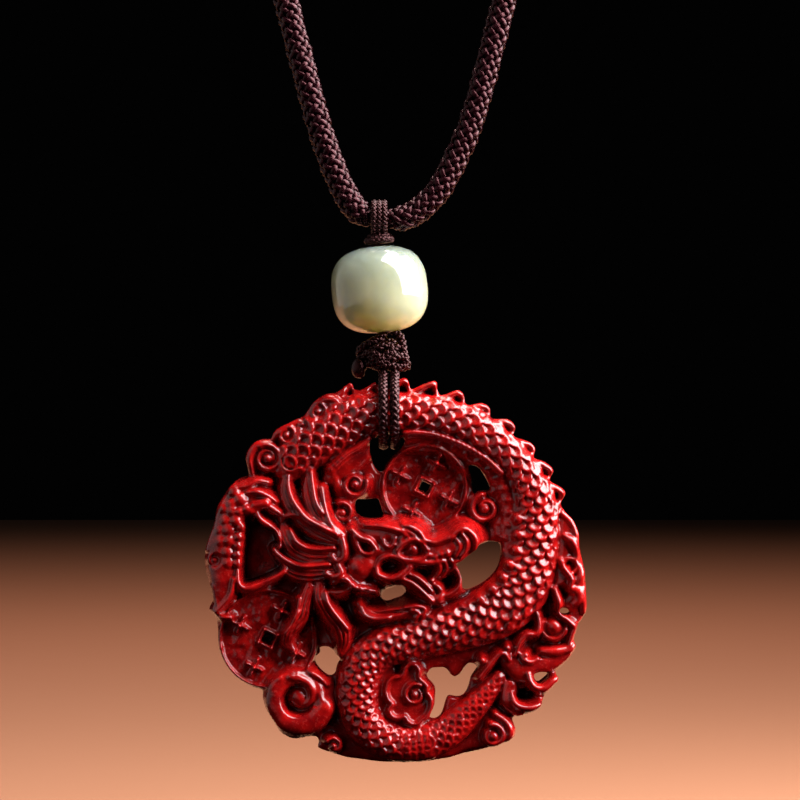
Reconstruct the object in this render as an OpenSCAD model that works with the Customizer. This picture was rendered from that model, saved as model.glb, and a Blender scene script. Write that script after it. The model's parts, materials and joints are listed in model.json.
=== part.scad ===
// Necklace with a carved, pierced dragon disc and a barrel bead on a braided neck cord.
// The necklace hangs in the XZ plane and its front faces -Y.
// The origin is under the sleeve knot at the nape, where the loop sits on its wearer.

/* [Neck cord] */
// Diameter of the braided neck cord
neck_cord_d = 3.5; // [3.3:0.1:3.7]
// Radius of the loop round the nape
nape_r = 55; // [45:1:65]
// Lean of the two sides of the loop, in degrees
side_lean = 14.5; // [12:0.5:16]
// Length of the sleeve knot at the nape
back_knot_len = 14; // [10:1:20]
// Diameter of the sleeve knot
back_knot_d = 6.4; // [5.5:0.1:8]

/* [Bead] */
// Diameter of the barrel bead
bead_d = 12.2; // [11:0.1:13]
// Height of the bead along its bore
bead_h = 11; // [10:0.1:12]
// Diameter of the bore
bore_d = 2.2; // [2:0.1:2.6]
// Tilt of the bead on its thread, in degrees
bead_tilt = 5.5; // [3:0.5:6]

/* [Thin cord] */
// Diameter of each strand of the loop that carries the disc
strand_d = 1.36; // [1.2:0.02:1.4]
// Diameter of each cord of the hanger over the neck cord
hanger_cord_d = 1; // [0.9:0.05:1.1]

/* [Disc] */
// Width of the carved disc
disc_w = 48; // [46:1:52]
// Thickness of the ground between the raised forms
ground_h = 2.8; // [2.4:0.1:3]
// Rise of the tallest relief over the ground
relief_h = 4.8; // [4.2:0.1:5]

/* [Hidden] */

// The carving is drawn on a grid of small steps, with its origin at the middle of the disc
steps_across = 379;
step = disc_w / steps_across;

// Colours
braid_colour = "#3a1a1c";
cord_colour = "#4a2a20";
jade_colour = "#c9cfae";
cinnabar_colour = "#9c1210";

// Clearance round the hanger on the neck cord, and round the strands in the carving
hanger_gap = 0.3;
strand_gap = 0.12;

// Neck cord: x and z in mm from the bottom of the loop, for the bent stretch of each side
hanger_x = -2;
left_bend = [
    [-2.05, 0], [-2.6, 0.02], [-3.1, 0.08], [-3.7, 0.25], [-4.3, 0.56], [-5.4, 1.7], [-6.6, 3.7],
    [-7.8, 6.4], [-9, 9.8], [-10.2, 13.8], [-11.9, 20.2], [-13.8, 27.6]
];
right_bend = [
    [-1.95, 0], [-1.4, -0.03], [-0.9, -0.06], [-0.3, -0.08], [0.3, -0.08], [1.5, 0.2], [2.9, 1],
    [4.4, 2.3], [5.9, 4.2], [7.8, 7.8], [9.5, 11.8], [11.3, 17.9], [13.8, 27.6]
];
bend_top = [13.8, 27.6];
side_rings = 18;
nape_rings = 12;
cord_sides = 8;
neck_r = neck_cord_d / 2;
// The hanger squeezes the braid to this part of its radius, over this length
waist = 0.66;
waist_l = 1.9;

// Each end runs straight into the sleeve knot and stops just short of it
cord_lead = 0.6;
end_gap = 0.05;
nape_x = back_knot_len / 2 + cord_lead;
tangent_x = nape_x + nape_r * cos(side_lean);
// Heights over the bottom of the loop
tangent_z = bend_top.y + (tangent_x - bend_top.x) / tan(side_lean);
nape_centre_z = tangent_z + nape_r * sin(side_lean);
loop_h = nape_centre_z + nape_r;
// Height of the bottom of the loop in the frame of the part
bottom_z = back_knot_d / 2 - loop_h;

// Hanger and collar, from the middle of the braid down
hanger_r = neck_r * waist + hanger_gap + hanger_cord_d / 2;
// The two turns of the hanger lie apart by a little more than the cord
hanger_spread = 1.1;
collar_z = -2.35;
collar_drop = 0.4;
collar_r = 1.5;
collar_top_r = 1.1;
collar_bottom = -3.35;

// Bead, knot and disc hang in a chain
bead_x = -1.96;
bead_gap_over = 0.15;
bead_gap_under = 0.1;
bead_z = collar_bottom - bead_h / 2 - bead_gap_over;
knot_top = bead_z - bead_h / 2 - bead_gap_under;
knot_h = 5.5;
knot_bottom_step = 192;
disc_x = 0.25;
disc_z = knot_top - knot_h - knot_bottom_step * step;
// The back face lies behind the plane of the cord, so that the drop hangs in balance
back_y = 2.3;

// Strands of the pendant loop: places across in steps
strand_left = -14;
strand_right = -2;
strand_r = strand_d / 2;

// Level of the carving over its back face, from 0 at the ground to 1 at the top of the head
function level(rise) = ground_h + rise * relief_h;

// Smooth curve through the rows of a table, with parts points from each row to the next
function curve_at(a, b, c, d, t) = 0.5 * (2 * b + (c - a) * t
    + (2 * a - 5 * b + 4 * c - d) * t * t + (3 * b - a - 3 * c + d) * t * t * t);
function smooth(rows, parts) = let (last = len(rows) - 1) [
    for (i = [0 : last - 1])
        for (k = [0 : parts - 1])
            curve_at(rows[max(i - 1, 0)], rows[i], rows[i + 1], rows[min(i + 2, last)], k / parts),
    rows[last]
];

// Unit vector to the right of a flat path at point i
function flat(p) = [p[0], p[1]];
function right_of(rows, i) = let (
    last = len(rows) - 1,
    way = flat(rows[min(i + 1, last)]) - flat(rows[max(i - 1, 0)])
) [way[1], -way[0]] / norm(way);

// Closed solid from rings of points with the same count
module skin(rings) {
    across = len(rings[0]);
    last = len(rings) - 1;
    polyhedron(
        points = [for (ring = rings) each ring],
        faces = [
            [for (k = [0 : across - 1]) k],
            for (i = [0 : last - 1])
                for (k = [0 : across - 1])
                    let (a = i * across + k, b = i * across + (k + 1) % across)
                        each [[a, a + across, b], [b, a + across, b + across]],
            [for (k = [across - 1 : -1 : 0]) last * across + k]
        ]
    );
}

// Round tube along points in space, for a path that lies in one upright plane.
// side is the direction across that plane; radii gives the radius at each point.
function tube_rings(path, side, radii, sides) = let (last = len(path) - 1) [
    for (i = [0 : last])
        let (
            way = path[min(i + 1, last)] - path[max(i - 1, 0)],
            along_way = way / norm(way),
            up = cross(along_way, side)
        )
        [for (k = [0 : sides - 1])
            path[i] + radii[i] * (side * cos(360 * k / sides) + up * sin(360 * k / sides))]
];

// Middle line of one side of the neck cord, from the bottom of the loop to the sleeve knot
function neck_side(bend, way) = let (
    end = bend[len(bend) - 1],
    tangent = [way * tangent_x, tangent_z]
) [
    for (p = bend) p,
    for (i = [1 : side_rings]) end + (tangent - end) * i / side_rings,
    for (i = [1 : nape_rings])
        let (a = -side_lean + (90 + side_lean) * i / nape_rings)
            [way * (nape_x + nape_r * cos(a)), nape_centre_z + nape_r * sin(a)],
    [way * (back_knot_len / 2 + end_gap), loop_h]
];

module neck_half(bend, way) {
    flat_path = neck_side(bend, way);
    path = [for (p = flat_path) [p.x, 0, p.y + bottom_z]];
    radii = [
        for (p = flat_path)
            neck_r * (1 - (1 - waist) * exp(-pow(norm(p - [hanger_x, 0]) / waist_l, 4)))
    ];
    skin(tube_rings(path, [0, -way, 0], radii, cord_sides));
}

module neck_cord_left() {
    color(braid_colour) neck_half(left_bend, -1);
}

module neck_cord_right() {
    color(braid_colour) neck_half(right_bend, 1);
}

module back_knot() {
    half = back_knot_len / 2;
    r = back_knot_d / 2;
    rounding = 1;
    corner = rounding * (1 - sqrt(0.5));
    color(braid_colour) translate([0, 0, r]) rotate([0, 90, 0])
        rotate_extrude($fn = 48)
            polygon([
                [0, -half], [r - rounding, -half], [r - corner, corner - half],
                [r, rounding - half], [r, half - rounding], [r - corner, half - corner],
                [r - rounding, half], [0, half]
            ]);
}

module hanger_loop() {
    cord_r = hanger_cord_d / 2;
    color(cord_colour) translate([hanger_x, 0, bottom_z]) {
        for (side = [-1, 1])
            translate([side * cord_r * hanger_spread, 0, 0]) rotate([0, 90, 0])
                rotate_extrude($fn = 48) translate([hanger_r, 0]) circle(r = cord_r, $fn = 24);
        translate([0, 0, collar_z]) rotate([0, -bead_tilt, 0])
            rotate_extrude($fn = 48) translate([collar_top_r, 0]) circle(r = cord_r, $fn = 24);
        translate([0, 0, collar_z - collar_drop]) rotate([0, -bead_tilt, 0]) {
            rotate_extrude($fn = 48) translate([collar_r, 0]) circle(r = cord_r, $fn = 24);
            cylinder(r = collar_r, h = hanger_cord_d, center = true, $fn = 48);
        }
    }
}

// Half of the bead's outline, from the middle of its top face down to the middle of its bottom
bead_steps = 16;
bead_bulge = 2.7;
function bead_outline() = [
    for (i = [0 : bead_steps])
        let (a = 90 - 180 * i / bead_steps)
            [
                bead_d / 2 * pow(max(cos(a), 0), 2 / bead_bulge),
                bead_h / 2 * sign(sin(a)) * pow(abs(sin(a)), 2 / bead_bulge)
            ]
];

module in_bead_frame() {
    translate([bead_x, 0, bottom_z + bead_z]) rotate([0, -bead_tilt, 0]) children();
}

module jade_bead() {
    color(jade_colour) in_bead_frame() difference() {
        rotate_extrude($fn = 64) polygon(bead_outline());
        cylinder(d = bore_d, h = bead_h + 2, center = true, $fn = 32);
    }
}

module bead_thread() {
    thread_gap = 0.1;
    color(cord_colour) in_bead_frame()
        cylinder(d = bore_d - 2 * thread_gap, h = bead_h - thread_gap, center = true, $fn = 32);
}

// Lobes of the button knot: x and z in steps, depth in mm, radius in mm, for both ends of a bight
knot_lobes = [
    [[-8, 225], 0, 1.2, [-8, 219], 0, 1.7],
    [[-14, 214], -0.8, 1.7, [-6, 206], 0.6, 1.9],
    [[-32, 220], -0.3, 1.1, [-33, 209], 0.5, 1.2],
    [[-38, 202], -0.4, 0.85, [-37, 198], 0, 0.85],
    [[-22, 218], -0.9, 1.4, [-24, 204], 0.7, 1.3],
    [[0, 222], -0.5, 1.3, [5, 208], 0.3, 1.2],
    [[2, 204], -0.6, 0.9, [8, 203], -0.4, 0.75],
    [[-26, 208], -0.7, 1.2, [0, 208], -0.9, 1.2],
    [[-14, 222], 0.8, 1.3, [-20, 206], 0.9, 1.3]
];

module in_disc_frame() {
    translate([disc_x, back_y, bottom_z + disc_z]) rotate([90, 0, 0]) children();
}

module lower_knot() {
    color(cord_colour) in_disc_frame()
        for (lobe = knot_lobes)
            hull() {
                translate([lobe[0].x * step, lobe[0].y * step, back_y - lobe[1]])
                    sphere(r = lobe[2], $fn = 10);
                translate([lobe[3].x * step, lobe[3].y * step, back_y - lobe[4]])
                    sphere(r = lobe[5], $fn = 10);
            }
}

// Pendant loop: height in steps and depth over the back face in mm, from the knot down the
// front of the carving, through the gap above the coin and up the back
front_reach = level(0.72) + strand_r + 0.2;
back_reach = -strand_r - 0.25;
loop_line = [
    [196, back_y + 1.1], [189, back_y + 1.9], [182, front_reach - 1.7], [173, front_reach - 0.6],
    [161, front_reach], [148, front_reach - 0.1], [139, front_reach - 1], [132, front_reach - 2.3],
    [127, front_reach - 3.9], [124.6, 2.2], [124.6, 0.5], [126.4, -0.5], [131, back_reach],
    [141, back_reach - 0.05], [157, back_reach], [171, back_reach], [180, back_reach + 0.3],
    [187, back_reach + 1.2], [196, back_y - 1.3]
];

module strand(across, r) {
    path = [for (p = smooth(loop_line, 2)) [across * step, p[0] * step, p[1]]];
    skin(tube_rings(path, [1, 0, 0], [for (p = path) r], cord_sides));
}

module pendant_loop_left() {
    color(cord_colour) in_disc_frame() strand(strand_left, strand_r);
}

module pendant_loop_right() {
    color(cord_colour) in_disc_frame() strand(strand_right, strand_r);
}

// The carving

outline = [
    [-60, 176], [-42, 178], [-16, 178], [16, 179], [44, 173], [72, 163], [96, 149], [118, 131],
    [138, 109], [152, 88], [163, 63], [170, 54], [176, 47], [180, 38], [181, 28], [184, 12],
    [187, -3], [188, -20], [189, -34], [187, -45], [181, -55], [178, -64], [178, -75],
    [172, -88], [163, -97], [158, -101], [161, -109], [155, -117], [147, -127], [145, -133],
    [139, -140], [128, -144], [117, -147], [115, -151], [118, -159], [118, -165], [108, -172],
    [95, -177], [75, -182], [53, -188], [35, -191], [15, -193], [-5, -193], [-25, -191.5],
    [-50, -188], [-65, -183.5], [-79, -178], [-78, -173], [-80, -168], [-88, -167], [-97, -169],
    [-105, -169], [-113, -165], [-118, -160], [-122, -152], [-129, -142], [-133, -133],
    [-134, -121], [-146, -117], [-160, -108], [-170, -97], [-176, -84], [-179, -70],
    [-179, -54], [-183, -44], [-188, -39], [-184, -31], [-185, -20], [-189, -5], [-192, 10],
    [-190, 25], [-185, 42], [-180, 58], [-173, 73], [-164, 85], [-157, 91], [-148, 94],
    [-150, 105], [-150, 115], [-145, 125], [-137, 129], [-126, 130], [-122, 138], [-114, 144],
    [-103, 149], [-96, 152], [-91, 157], [-85, 165], [-77, 171], [-68, 175]
];

// Gaps that go right through
gap_over_coin = [
    [-24, 131], [6, 131], [5, 122], [0, 117], [-6, 111], [-11, 104], [-14, 98], [-19, 98],
    [-23, 104], [-26, 112], [-27, 121]
];
gap_by_curl = [
    [-40, 70], [-30, 70], [-20, 71], [-17, 66], [-15, 59], [-14, 53], [-21, 51], [-30, 51],
    [-37, 53], [-41, 57], [-42, 63]
];
gap_crescent = [
    [71, 103], [76, 104], [82, 101], [87, 94], [91, 87], [93, 80], [88, 78], [82, 78],
    [77, 75], [75, 82], [74, 92]
];
gap_by_snout = [
    [78, 21], [82, 26], [92, 28], [101, 27], [104, 20], [103, 9], [99, -1], [92, -9],
    [84, -15], [76, -19], [69, -21], [65, -18], [64, -8], [61, 1], [59, 6], [64, 10], [70, 15]
];
gap_under_jaw = [
    [-16, -27], [-12, -20], [-4, -17], [1, -15], [6, -17], [8, -22], [5, -27], [-3, -30],
    [-9, -32], [-14, -31]
];
gap_left = [
    [-77, -78], [-72, -77], [-67, -78], [-62, -83], [-57, -90], [-60, -96], [-62, -104],
    [-67, -107], [-73, -104], [-79, -98], [-82, -92], [-80, -86], [-77, -83]
];
gap_three_lobed = [
    [30, -105], [34, -99], [41, -98], [47, -98], [51, -101], [54, -105], [58, -107], [63, -104],
    [67, -98], [71, -94], [76, -94], [80, -98], [78, -102], [74, -108], [72, -116], [69, -123],
    [65, -127], [59, -128], [52, -127], [49, -131], [46, -141], [43, -147], [38, -150],
    [33, -149], [33, -144], [37, -135], [38, -126], [38, -119], [35, -114], [31, -110]
];
gap_fin = [[163, -38], [170, -39], [172, -44], [166, -45], [162, -42]];
gap_prong = [[136, -105], [141, -102], [148, -102], [151, -105], [146, -110], [140, -113]];
gaps = [
    gap_over_coin, gap_by_curl, gap_crescent, gap_by_snout, gap_under_jaw, gap_left,
    gap_three_lobed, gap_fin, gap_prong
];

// Dark hollows that stop part of the way down
hollow_by_foreleg = [
    [-151, 48], [-143, 48], [-136, 42], [-126, 36], [-124, 28], [-131, 21], [-123, 13],
    [-115, 1], [-127, -6], [-148, -13], [-153, -8], [-153, 12], [-151, 30]
];
hollow_by_fin = [[120, -121], [128, -119], [136, -122], [137, -127], [130, -130], [121, -129]];
hollow_floor = 1.2;

// Cross sections of raised strokes: place across as a share of the half width, and rise
thin_section = [[-1, 0], [0, 1], [1, 0]];
sharp_section = [[-1, 0], [-0.3, 0.95], [0.3, 0.95], [1, 0]];
round_section = [[-1, 0], [-0.75, 0.7], [0, 1], [0.75, 0.7], [1, 0]];
// The forms stand at levels of their own inside the ground, so that no two share a plane
foot_low = 1.4;
foot_spread = 0.5;
function foot_at(x, y) = foot_low + foot_spread * abs(sin(37 * x + 61 * y));
// Plates and coins start lower
plate_foot = 0.6;

// Raised form along a line. Rows hold x, y, half width in steps, and rise from 0 to 1.
module raised(line, section) {
    foot = foot_at(line[0].x, line[0].y);
    skin([
        for (i = [0 : len(line) - 1])
            let (row = line[i], side = right_of(line, i) * row[2] * step)
            [for (p = section)
                [
                    row[0] * step + side[0] * p[0],
                    row[1] * step + side[1] * p[0],
                    foot + (level(row[3]) - foot) * p[1]
                ]]
    ]);
}

module ridge(rows) {
    raised(rows, thin_section);
}

module stroke(rows, parts = 1) {
    raised(smooth(rows, parts), sharp_section);
}

module limb(rows, parts = 2) {
    raised(smooth(rows, parts), round_section);
}

// Rounded knob: middle, radius in steps and rise
module knob(x, y, r, rise, sides = 6) {
    foot = foot_at(x, y);
    top = level(rise);
    least_side = 0.3;
    low = top - min(r * step * 0.6, top - foot - least_side);
    // Radius and height of each ring, from the foot up
    rings = [[r, foot], [r, low], [r * 0.45, top]];
    skin([
        for (ring = rings)
            [for (k = [0 : sides - 1])
                let (a = 360 * k / sides + 5 * x + 3 * y)
                    [(x + ring[0] * cos(a)) * step, (y + ring[0] * sin(a)) * step, ring[1]]]
    ]);
}

// Rounded mass over two or more knobs. Rows hold x, y, radius and rise.
module mass(rows) {
    hull() for (row = rows) knob(row[0], row[1], row[2], row[3]);
}

// Scroll: a ridge that winds in from radius r through a share of turns, with a knob inside.
// start is the angle of its outer end; way is 1 for anticlockwise and -1 for clockwise.
module scroll(x, y, r, rise, turn, start, way) {
    parts = 12;
    width = min(2.6, r * 0.2);
    ridge([
        for (i = [0 : parts])
            let (s = i / parts, a = start + way * turn * s, radius = r * (1 - 0.55 * s))
                [x + radius * cos(a), y + radius * sin(a), width * (1 - 0.3 * s), rise - 0.1 * s]
    ]);
    foot = foot_at(y, x);
    translate([x * step, y * step, foot])
        cylinder(r1 = r * 0.34 * step, r2 = r * 0.16 * step, h = level(rise) - foot, $fn = 6);
}

// Dragon's body from the mane over the top and round to the tail.
// Rows hold x, y, half width and rise.
body_rows = [
    [-106, 108, 21, 0.55], [-84, 126, 25, 0.64], [-60, 142, 28, 0.68], [-32, 153, 24, 0.7],
    [0, 157, 21, 0.72], [38, 154, 20.5, 0.72], [70, 145, 20.5, 0.72], [92, 131, 20, 0.72],
    [110, 116, 19, 0.72], [124, 99, 19, 0.72], [133, 80, 22, 0.72], [137, 60, 25, 0.72],
    [136, 40, 27, 0.72], [133, 20, 29, 0.72], [129, 0, 30, 0.72], [122, -18, 31, 0.72],
    [106, -36, 30, 0.72], [80, -50, 27, 0.72], [48, -60, 25, 0.7], [15, -70, 22, 0.68],
    [-15, -79, 21, 0.66], [-33, -96, 22, 0.65], [-39, -120, 22, 0.64], [-37, -143, 21, 0.62],
    [-24, -162, 20, 0.58], [0, -173, 18.5, 0.55], [29, -172, 18.5, 0.52],
    [55, -158, 17, 0.5], [75, -139, 14, 0.48], [90, -122, 11.5, 0.45], [102, -107, 8, 0.4]
];
// Places across the body, with the rise there
body_section = [
    [-1, 0], [-0.95, 0.42], [-0.7, 0.8], [-0.25, 0.98], [0.25, 0.98], [0.7, 0.8],
    [0.95, 0.42], [1, 0]
];

module dragon_body() {
    raised(smooth(body_rows, 2), body_section);
    // Smooth slope from the scaled back down to the gap and the coin
    stroke([[-64, 96, 5, 0.42], [-50, 108, 7, 0.45], [-36, 118, 5, 0.4]]);
    stroke([
        [10, 130, 6, 0.35], [40, 127, 8, 0.4], [66, 117, 10, 0.4], [88, 102, 11, 0.42],
        [102, 84, 12, 0.42], [106, 62, 11, 0.42], [104, 40, 9, 0.4]
    ]);
}

// Fin rays along the back. Rows hold left foot, tip and right foot.
spines = [
    [[-60, 176], [-47, 186], [-42, 178]], [[-42, 178], [-23, 186], [-16, 178]],
    [[-6, 180], [7, 190], [16, 179]], [[16, 179], [38, 186.5], [44, 173]],
    [[44, 173], [64, 178], [72, 163]], [[72, 163], [90, 164.5], [96, 149]],
    [[96, 149], [115, 147], [118, 131]], [[118, 131], [135, 125], [138, 109]],
    [[138, 109], [154, 102], [152, 88]], [[152, 88], [167, 79], [163, 63]],
    [[163, 63], [179, 44], [168, 32]]
];
spine_tip_r = 2;
spine_bow = 2.6;
spine_sink = 0.7;

module spine(row) {
    foot = row[0];
    tip = row[1];
    end = row[2];
    way = (tip - foot) / norm(tip - foot);
    bow = (foot + tip) / 2 + spine_bow * [-way[1], way[0]];
    low = foot_at(tip.x, foot.y) - spine_sink;
    high = level(0.2) + 0.3 * low;
    corners = [foot, bow, tip, end * 0.98];
    hull()
        for (i = [0 : 3])
            translate([corners[i].x * step, corners[i].y * step, low])
                cylinder(r = (spine_tip_r + 0.13 * i) * step, h = high - low, $fn = 4);
    ridge([
        [foot.x, foot.y, 2, 0.34], [tip.x - 1, tip.y - 1, 2.4, 0.38],
        [0.15 * tip.x + 0.85 * end.x - 1, 0.15 * tip.y + 0.85 * end.y, 2, 0.34]
    ]);
}

// Coins with a rim and a square frame. Middle, radius, face height and angle of the square.
module coin(x, y, r, face, angle) {
    rim = 2.6;
    square_out = 17;
    square_in = 11;
    lift = 0.55;
    mark_r = r * 0.62;
    mark_long = 7;
    mark_short = 3;
    face_h = face - plate_foot;
    translate([x * step, y * step, plate_foot]) {
        difference() {
            cylinder(r = r * step, h = face_h + lift, $fn = 24);
            translate([0, 0, face_h]) cylinder(r = (r - rim) * step, h = 2 * lift, $fn = 24);
        }
        rotate([0, 0, angle]) difference() {
            translate([-square_out / 2 * step, -square_out / 2 * step, 0])
                cube([square_out * step, square_out * step, face_h + lift]);
            translate([-square_in / 2 * step, -square_in / 2 * step, face_h])
                cube([square_in * step, square_in * step, 2 * lift]);
        }
        // Plain four-pointed stars beside the square
        for (side = [0 : 3])
            rotate([0, 0, angle + 90 * side]) translate([mark_r * step, 0, 0])
                linear_extrude(face_h + lift * 0.7)
                    polygon([
                        for (a = [0 : 45 : 315])
                            (a % 90 == 0 ? mark_long : mark_short) * step * [cos(a), sin(a)]
                    ]);
    }
}

coin_top = [27.5, 82, 44, -27];
coin_low = [-128.5, -69, 49, -26];
coin_hole = 9;

module mane() {
    stroke([
        [-107, 95, 2.5, 0.42], [-110, 80, 6, 0.52], [-105, 66, 7.5, 0.62], [-93, 55, 6.5, 0.68],
        [-77, 45, 5, 0.74], [-58, 35, 4, 0.8]
    ]);
    stroke([
        [-86, 98, 2.5, 0.45], [-88, 84, 5, 0.55], [-84, 68, 6.5, 0.64], [-75, 54, 5.5, 0.7],
        [-64, 43, 4.5, 0.78], [-54, 34, 4, 0.8]
    ]);
    stroke([[-70, 73, 2.5, 0.5], [-73, 60, 4.5, 0.6], [-68, 48, 4.8, 0.7], [-57, 35, 4, 0.8]]);
    stroke([[-115, 53, 2.5, 0.4], [-104, 53, 4.5, 0.5], [-90, 46, 4.5, 0.6], [-76, 38, 4, 0.66]]);
    stroke([
        [-113, 47, 2.5, 0.42], [-111, 35, 5.5, 0.52], [-102, 23, 6.5, 0.6], [-87, 17, 6, 0.68],
        [-71, 17, 5, 0.75], [-56, 19, 4, 0.8]
    ]);
    stroke([
        [-129, 20, 2.5, 0.4], [-119, 13, 5.5, 0.5], [-107, 4, 5.5, 0.6], [-90, 1, 5, 0.68],
        [-66, 3, 4, 0.8]
    ]);
    stroke([[-111, -1, 2.5, 0.42], [-98, -3, 3.5, 0.52], [-80, -3, 3.5, 0.62], [-60, -3, 3, 0.76]]);
    stroke([[-105, -9, 2.2, 0.38], [-90, -9, 3, 0.46], [-72, -8, 3, 0.58]]);
    // Locks that fall below the cheek
    stroke([
        [-88, -20, 4, 0.55], [-94, -35, 6.5, 0.6], [-97, -48, 7, 0.58], [-106, -60, 6, 0.52],
        [-109, -71, 4.5, 0.48], [-103, -81, 2.8, 0.4]
    ]);
    stroke([
        [-76, -17, 4, 0.6], [-74, -30, 6, 0.66], [-64, -43, 7.5, 0.66], [-55, -56, 8, 0.62],
        [-53, -70, 6.5, 0.56], [-56, -84, 2.8, 0.42]
    ]);
    // Root curls behind the cheek
    stroke([
        [-52, 31, 3, 0.8], [-54, 20, 3.5, 0.82], [-57, 11, 3.2, 0.8], [-63, 10, 2.6, 0.76],
        [-65, 15, 2, 0.72]
    ]);
    stroke([[-61, 7, 3, 0.78], [-56, 1, 3.4, 0.8], [-58, -6, 3, 0.78], [-67, -4, 2.4, 0.74]]);
}

module head() {
    mass([[-30, 28, 13, 0.74], [-32, 4, 14, 0.84], [-20, 14, 10, 0.8]]);
    mass([[-24, 38, 10, 0.76], [4, 34, 9, 0.88], [20, 34, 8, 0.9]]);
    mass([[-6, 22, 9, 0.84], [16, 24, 10, 0.84], [40, 22, 9, 0.92]]);
    mass([[36, 22, 9, 0.9], [56, 24, 12, 0.96], [66, 30, 11, 1]]);
    mass([[62, 38, 8, 0.94], [70, 27, 7, 0.98]]);
    mass([[-36, -10, 9, 0.7], [-20, -14, 6, 0.66], [-34, -26, 7, 0.6]]);
    mass([[12, -18, 6, 0.5], [28, -30, 8, 0.5], [8, -34, 6, 0.5]]);
    mass([[-24, -42, 6, 0.6], [10, -42, 6, 0.62], [24, -38, 4, 0.56]]);
    // Brow with its curl
    stroke([[-14, 45, 2.5, 0.88], [-4, 41, 3.4, 0.96], [6, 37, 3.4, 0.96], [13, 31, 2.4, 0.9]]);
    ridge([[12, 42, 2.4, 0.94], [20, 41, 3, 0.98], [25, 35, 2.6, 0.94]]);
    ridge([[-11, 30, 2.2, 0.9], [-5, 24, 2.6, 0.92], [0, 29, 2.4, 0.92], [-3, 35, 2, 0.9]]);
    // Ear
    ridge([[-42, 39, 2.5, 0.84], [-36, 33, 3, 0.9], [-27, 29, 3, 0.92], [-20, 21, 2.4, 0.86]]);
    // Lips
    stroke([
        [-1, 14, 2.4, 0.86], [8, 11, 3.4, 0.94], [24, 10, 3.6, 0.95], [38, 8, 3.6, 0.94],
        [42, 1, 3, 0.88], [37, -6, 2.4, 0.8]
    ]);
    ridge([
        [-19, -1, 2.4, 0.82], [-10, -7, 3, 0.86], [0, -5, 3, 0.86], [9, 1, 3.4, 0.9]
    ]);
    stroke([
        [6, -5, 3, 0.74], [18, -9, 4.6, 0.8], [28, -18, 4.6, 0.8], [37, -27, 4, 0.72]
    ]);
    ridge([
        [43, -25, 3, 0.6], [54, -21, 3, 0.66], [61, -13, 3, 0.68], [60, -3, 3, 0.68],
        [54, 5, 3, 0.66]
    ]);
    ridge([
        [-36, -32, 3, 0.62], [-30, -43, 3.4, 0.7], [-19, -47, 3.6, 0.72], [-8, -45, 3.4, 0.72]
    ]);
    // Cheek spur
    ridge([
        [-62, -11, 2.6, 0.76], [-51, -8, 3.4, 0.82], [-43, -15, 3, 0.78], [-31, -18, 2.6, 0.74],
        [-21, -20, 2, 0.66]
    ]);
    // Nostril and eye
    scroll(68, 30, 7, 1.06, 250, 120, -1);
    knob(16.4, 23.3, 4.3, 1.01, 8);
}

module foreleg() {
    limb([
        [-132, 70, 9, 0.5], [-150, 70, 14, 0.56], [-163, 55, 15, 0.58], [-170, 32, 15, 0.58],
        [-173, 8, 15, 0.56], [-173, -14, 12, 0.52], [-174, -30, 8, 0.46], [-180, -40, 4.5, 0.4]
    ], 1);
    ridge([
        [-148, 88, 3, 0.3], [-163, 79, 3.4, 0.34], [-174, 60, 3.6, 0.36], [-182, 38, 3.6, 0.36],
        [-187, 18, 3.2, 0.34]
    ]);
    ridge([
        [-158, -8, 3, 0.46], [-152, -18, 4, 0.5], [-136, -14, 4.2, 0.5], [-122, -8, 4, 0.5],
        [-110, -1, 3, 0.48]
    ]);
    ridge([
        [-139, 60, 3, 0.5], [-136, 51, 3.6, 0.54], [-127, 43, 4, 0.54], [-120, 35, 4, 0.52],
        [-119, 24, 3, 0.48]
    ]);
    ridge([[-164, -20, 2.6, 0.5], [-171, -31, 3.2, 0.5], [-183, -42, 2.6, 0.4]]);
    knob(-135, 66, 8, 0.72);
    knob(-147, 62, 6, 0.68);
    knob(-122, 61, 5, 0.56);
    scroll(-182, 10, 8, 0.46, 300, 60, 1);
}

// Cloud scrolls. Rows hold x, y, radius, rise, turn, start angle and way.
scrolls = [
    [-129, 111, 14, 0.42, 420, 70, 1], [-110, 133, 10.5, 0.42, 400, 70, 1],
    [-95, 144, 6, 0.4, 360, 60, 1], [-78, 156, 9, 0.44, 400, 80, 1],
    [-41, 86, 14.5, 0.44, 420, 20, -1], [-54, 57, 11, 0.46, 300, 110, -1],
    [87, 60, 15, 0.42, 420, 100, 1], [154, -57, 14, 0.44, 400, 150, 1],
    [96, -163, 13, 0.42, 420, 60, 1], [-62, -174, 9, 0.36, 300, 150, -1],
    [17, -124, 12, 0.42, 440, 60, -1]
];

module clouds() {
    for (s = scrolls)
        scroll(s[0], s[1], s[2], s[3], s[4], s[5], s[6]);
    // Swell round the outer clouds
    ridge([
        [-146, 98, 3, 0.3], [-148, 112, 4, 0.36], [-141, 124, 4, 0.36], [-129, 128, 3, 0.3]
    ]);
    ridge([
        [-123, 131, 2.4, 0.3], [-117, 140, 3, 0.34], [-106, 145, 3, 0.34], [-98, 148, 2.4, 0.3]
    ]);
    ridge([[-90, 153, 2.4, 0.3], [-83, 164, 3, 0.36], [-72, 171, 3, 0.38], [-58, 168, 2.6, 0.4]]);
}

// Large scroll at the lower left
module great_scroll() {
    x = -98;
    y = -129;
    parts = 20;
    plate_r = 30;
    translate([x * step, y * step, plate_foot])
        cylinder(r = plate_r * step, h = level(0.1) - plate_foot, $fn = 20);
    limb([
        for (i = [0 : parts])
            let (s = i / parts, a = -100 + 430 * s, radius = 27 - 17 * s)
                [x + radius * cos(a), y + radius * sin(a), 7 - 4 * s, 0.5 + 0.04 * s]
    ], 1);
    stroke([[-128, -128, 3, 0.2], [-120, -150, 5, 0.24], [-104, -163, 4, 0.2]]);
    stroke([[-88, -103, 2.4, 0.4], [-80, -107, 3, 0.42], [-71, -114, 2.6, 0.36]]);
}

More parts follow.
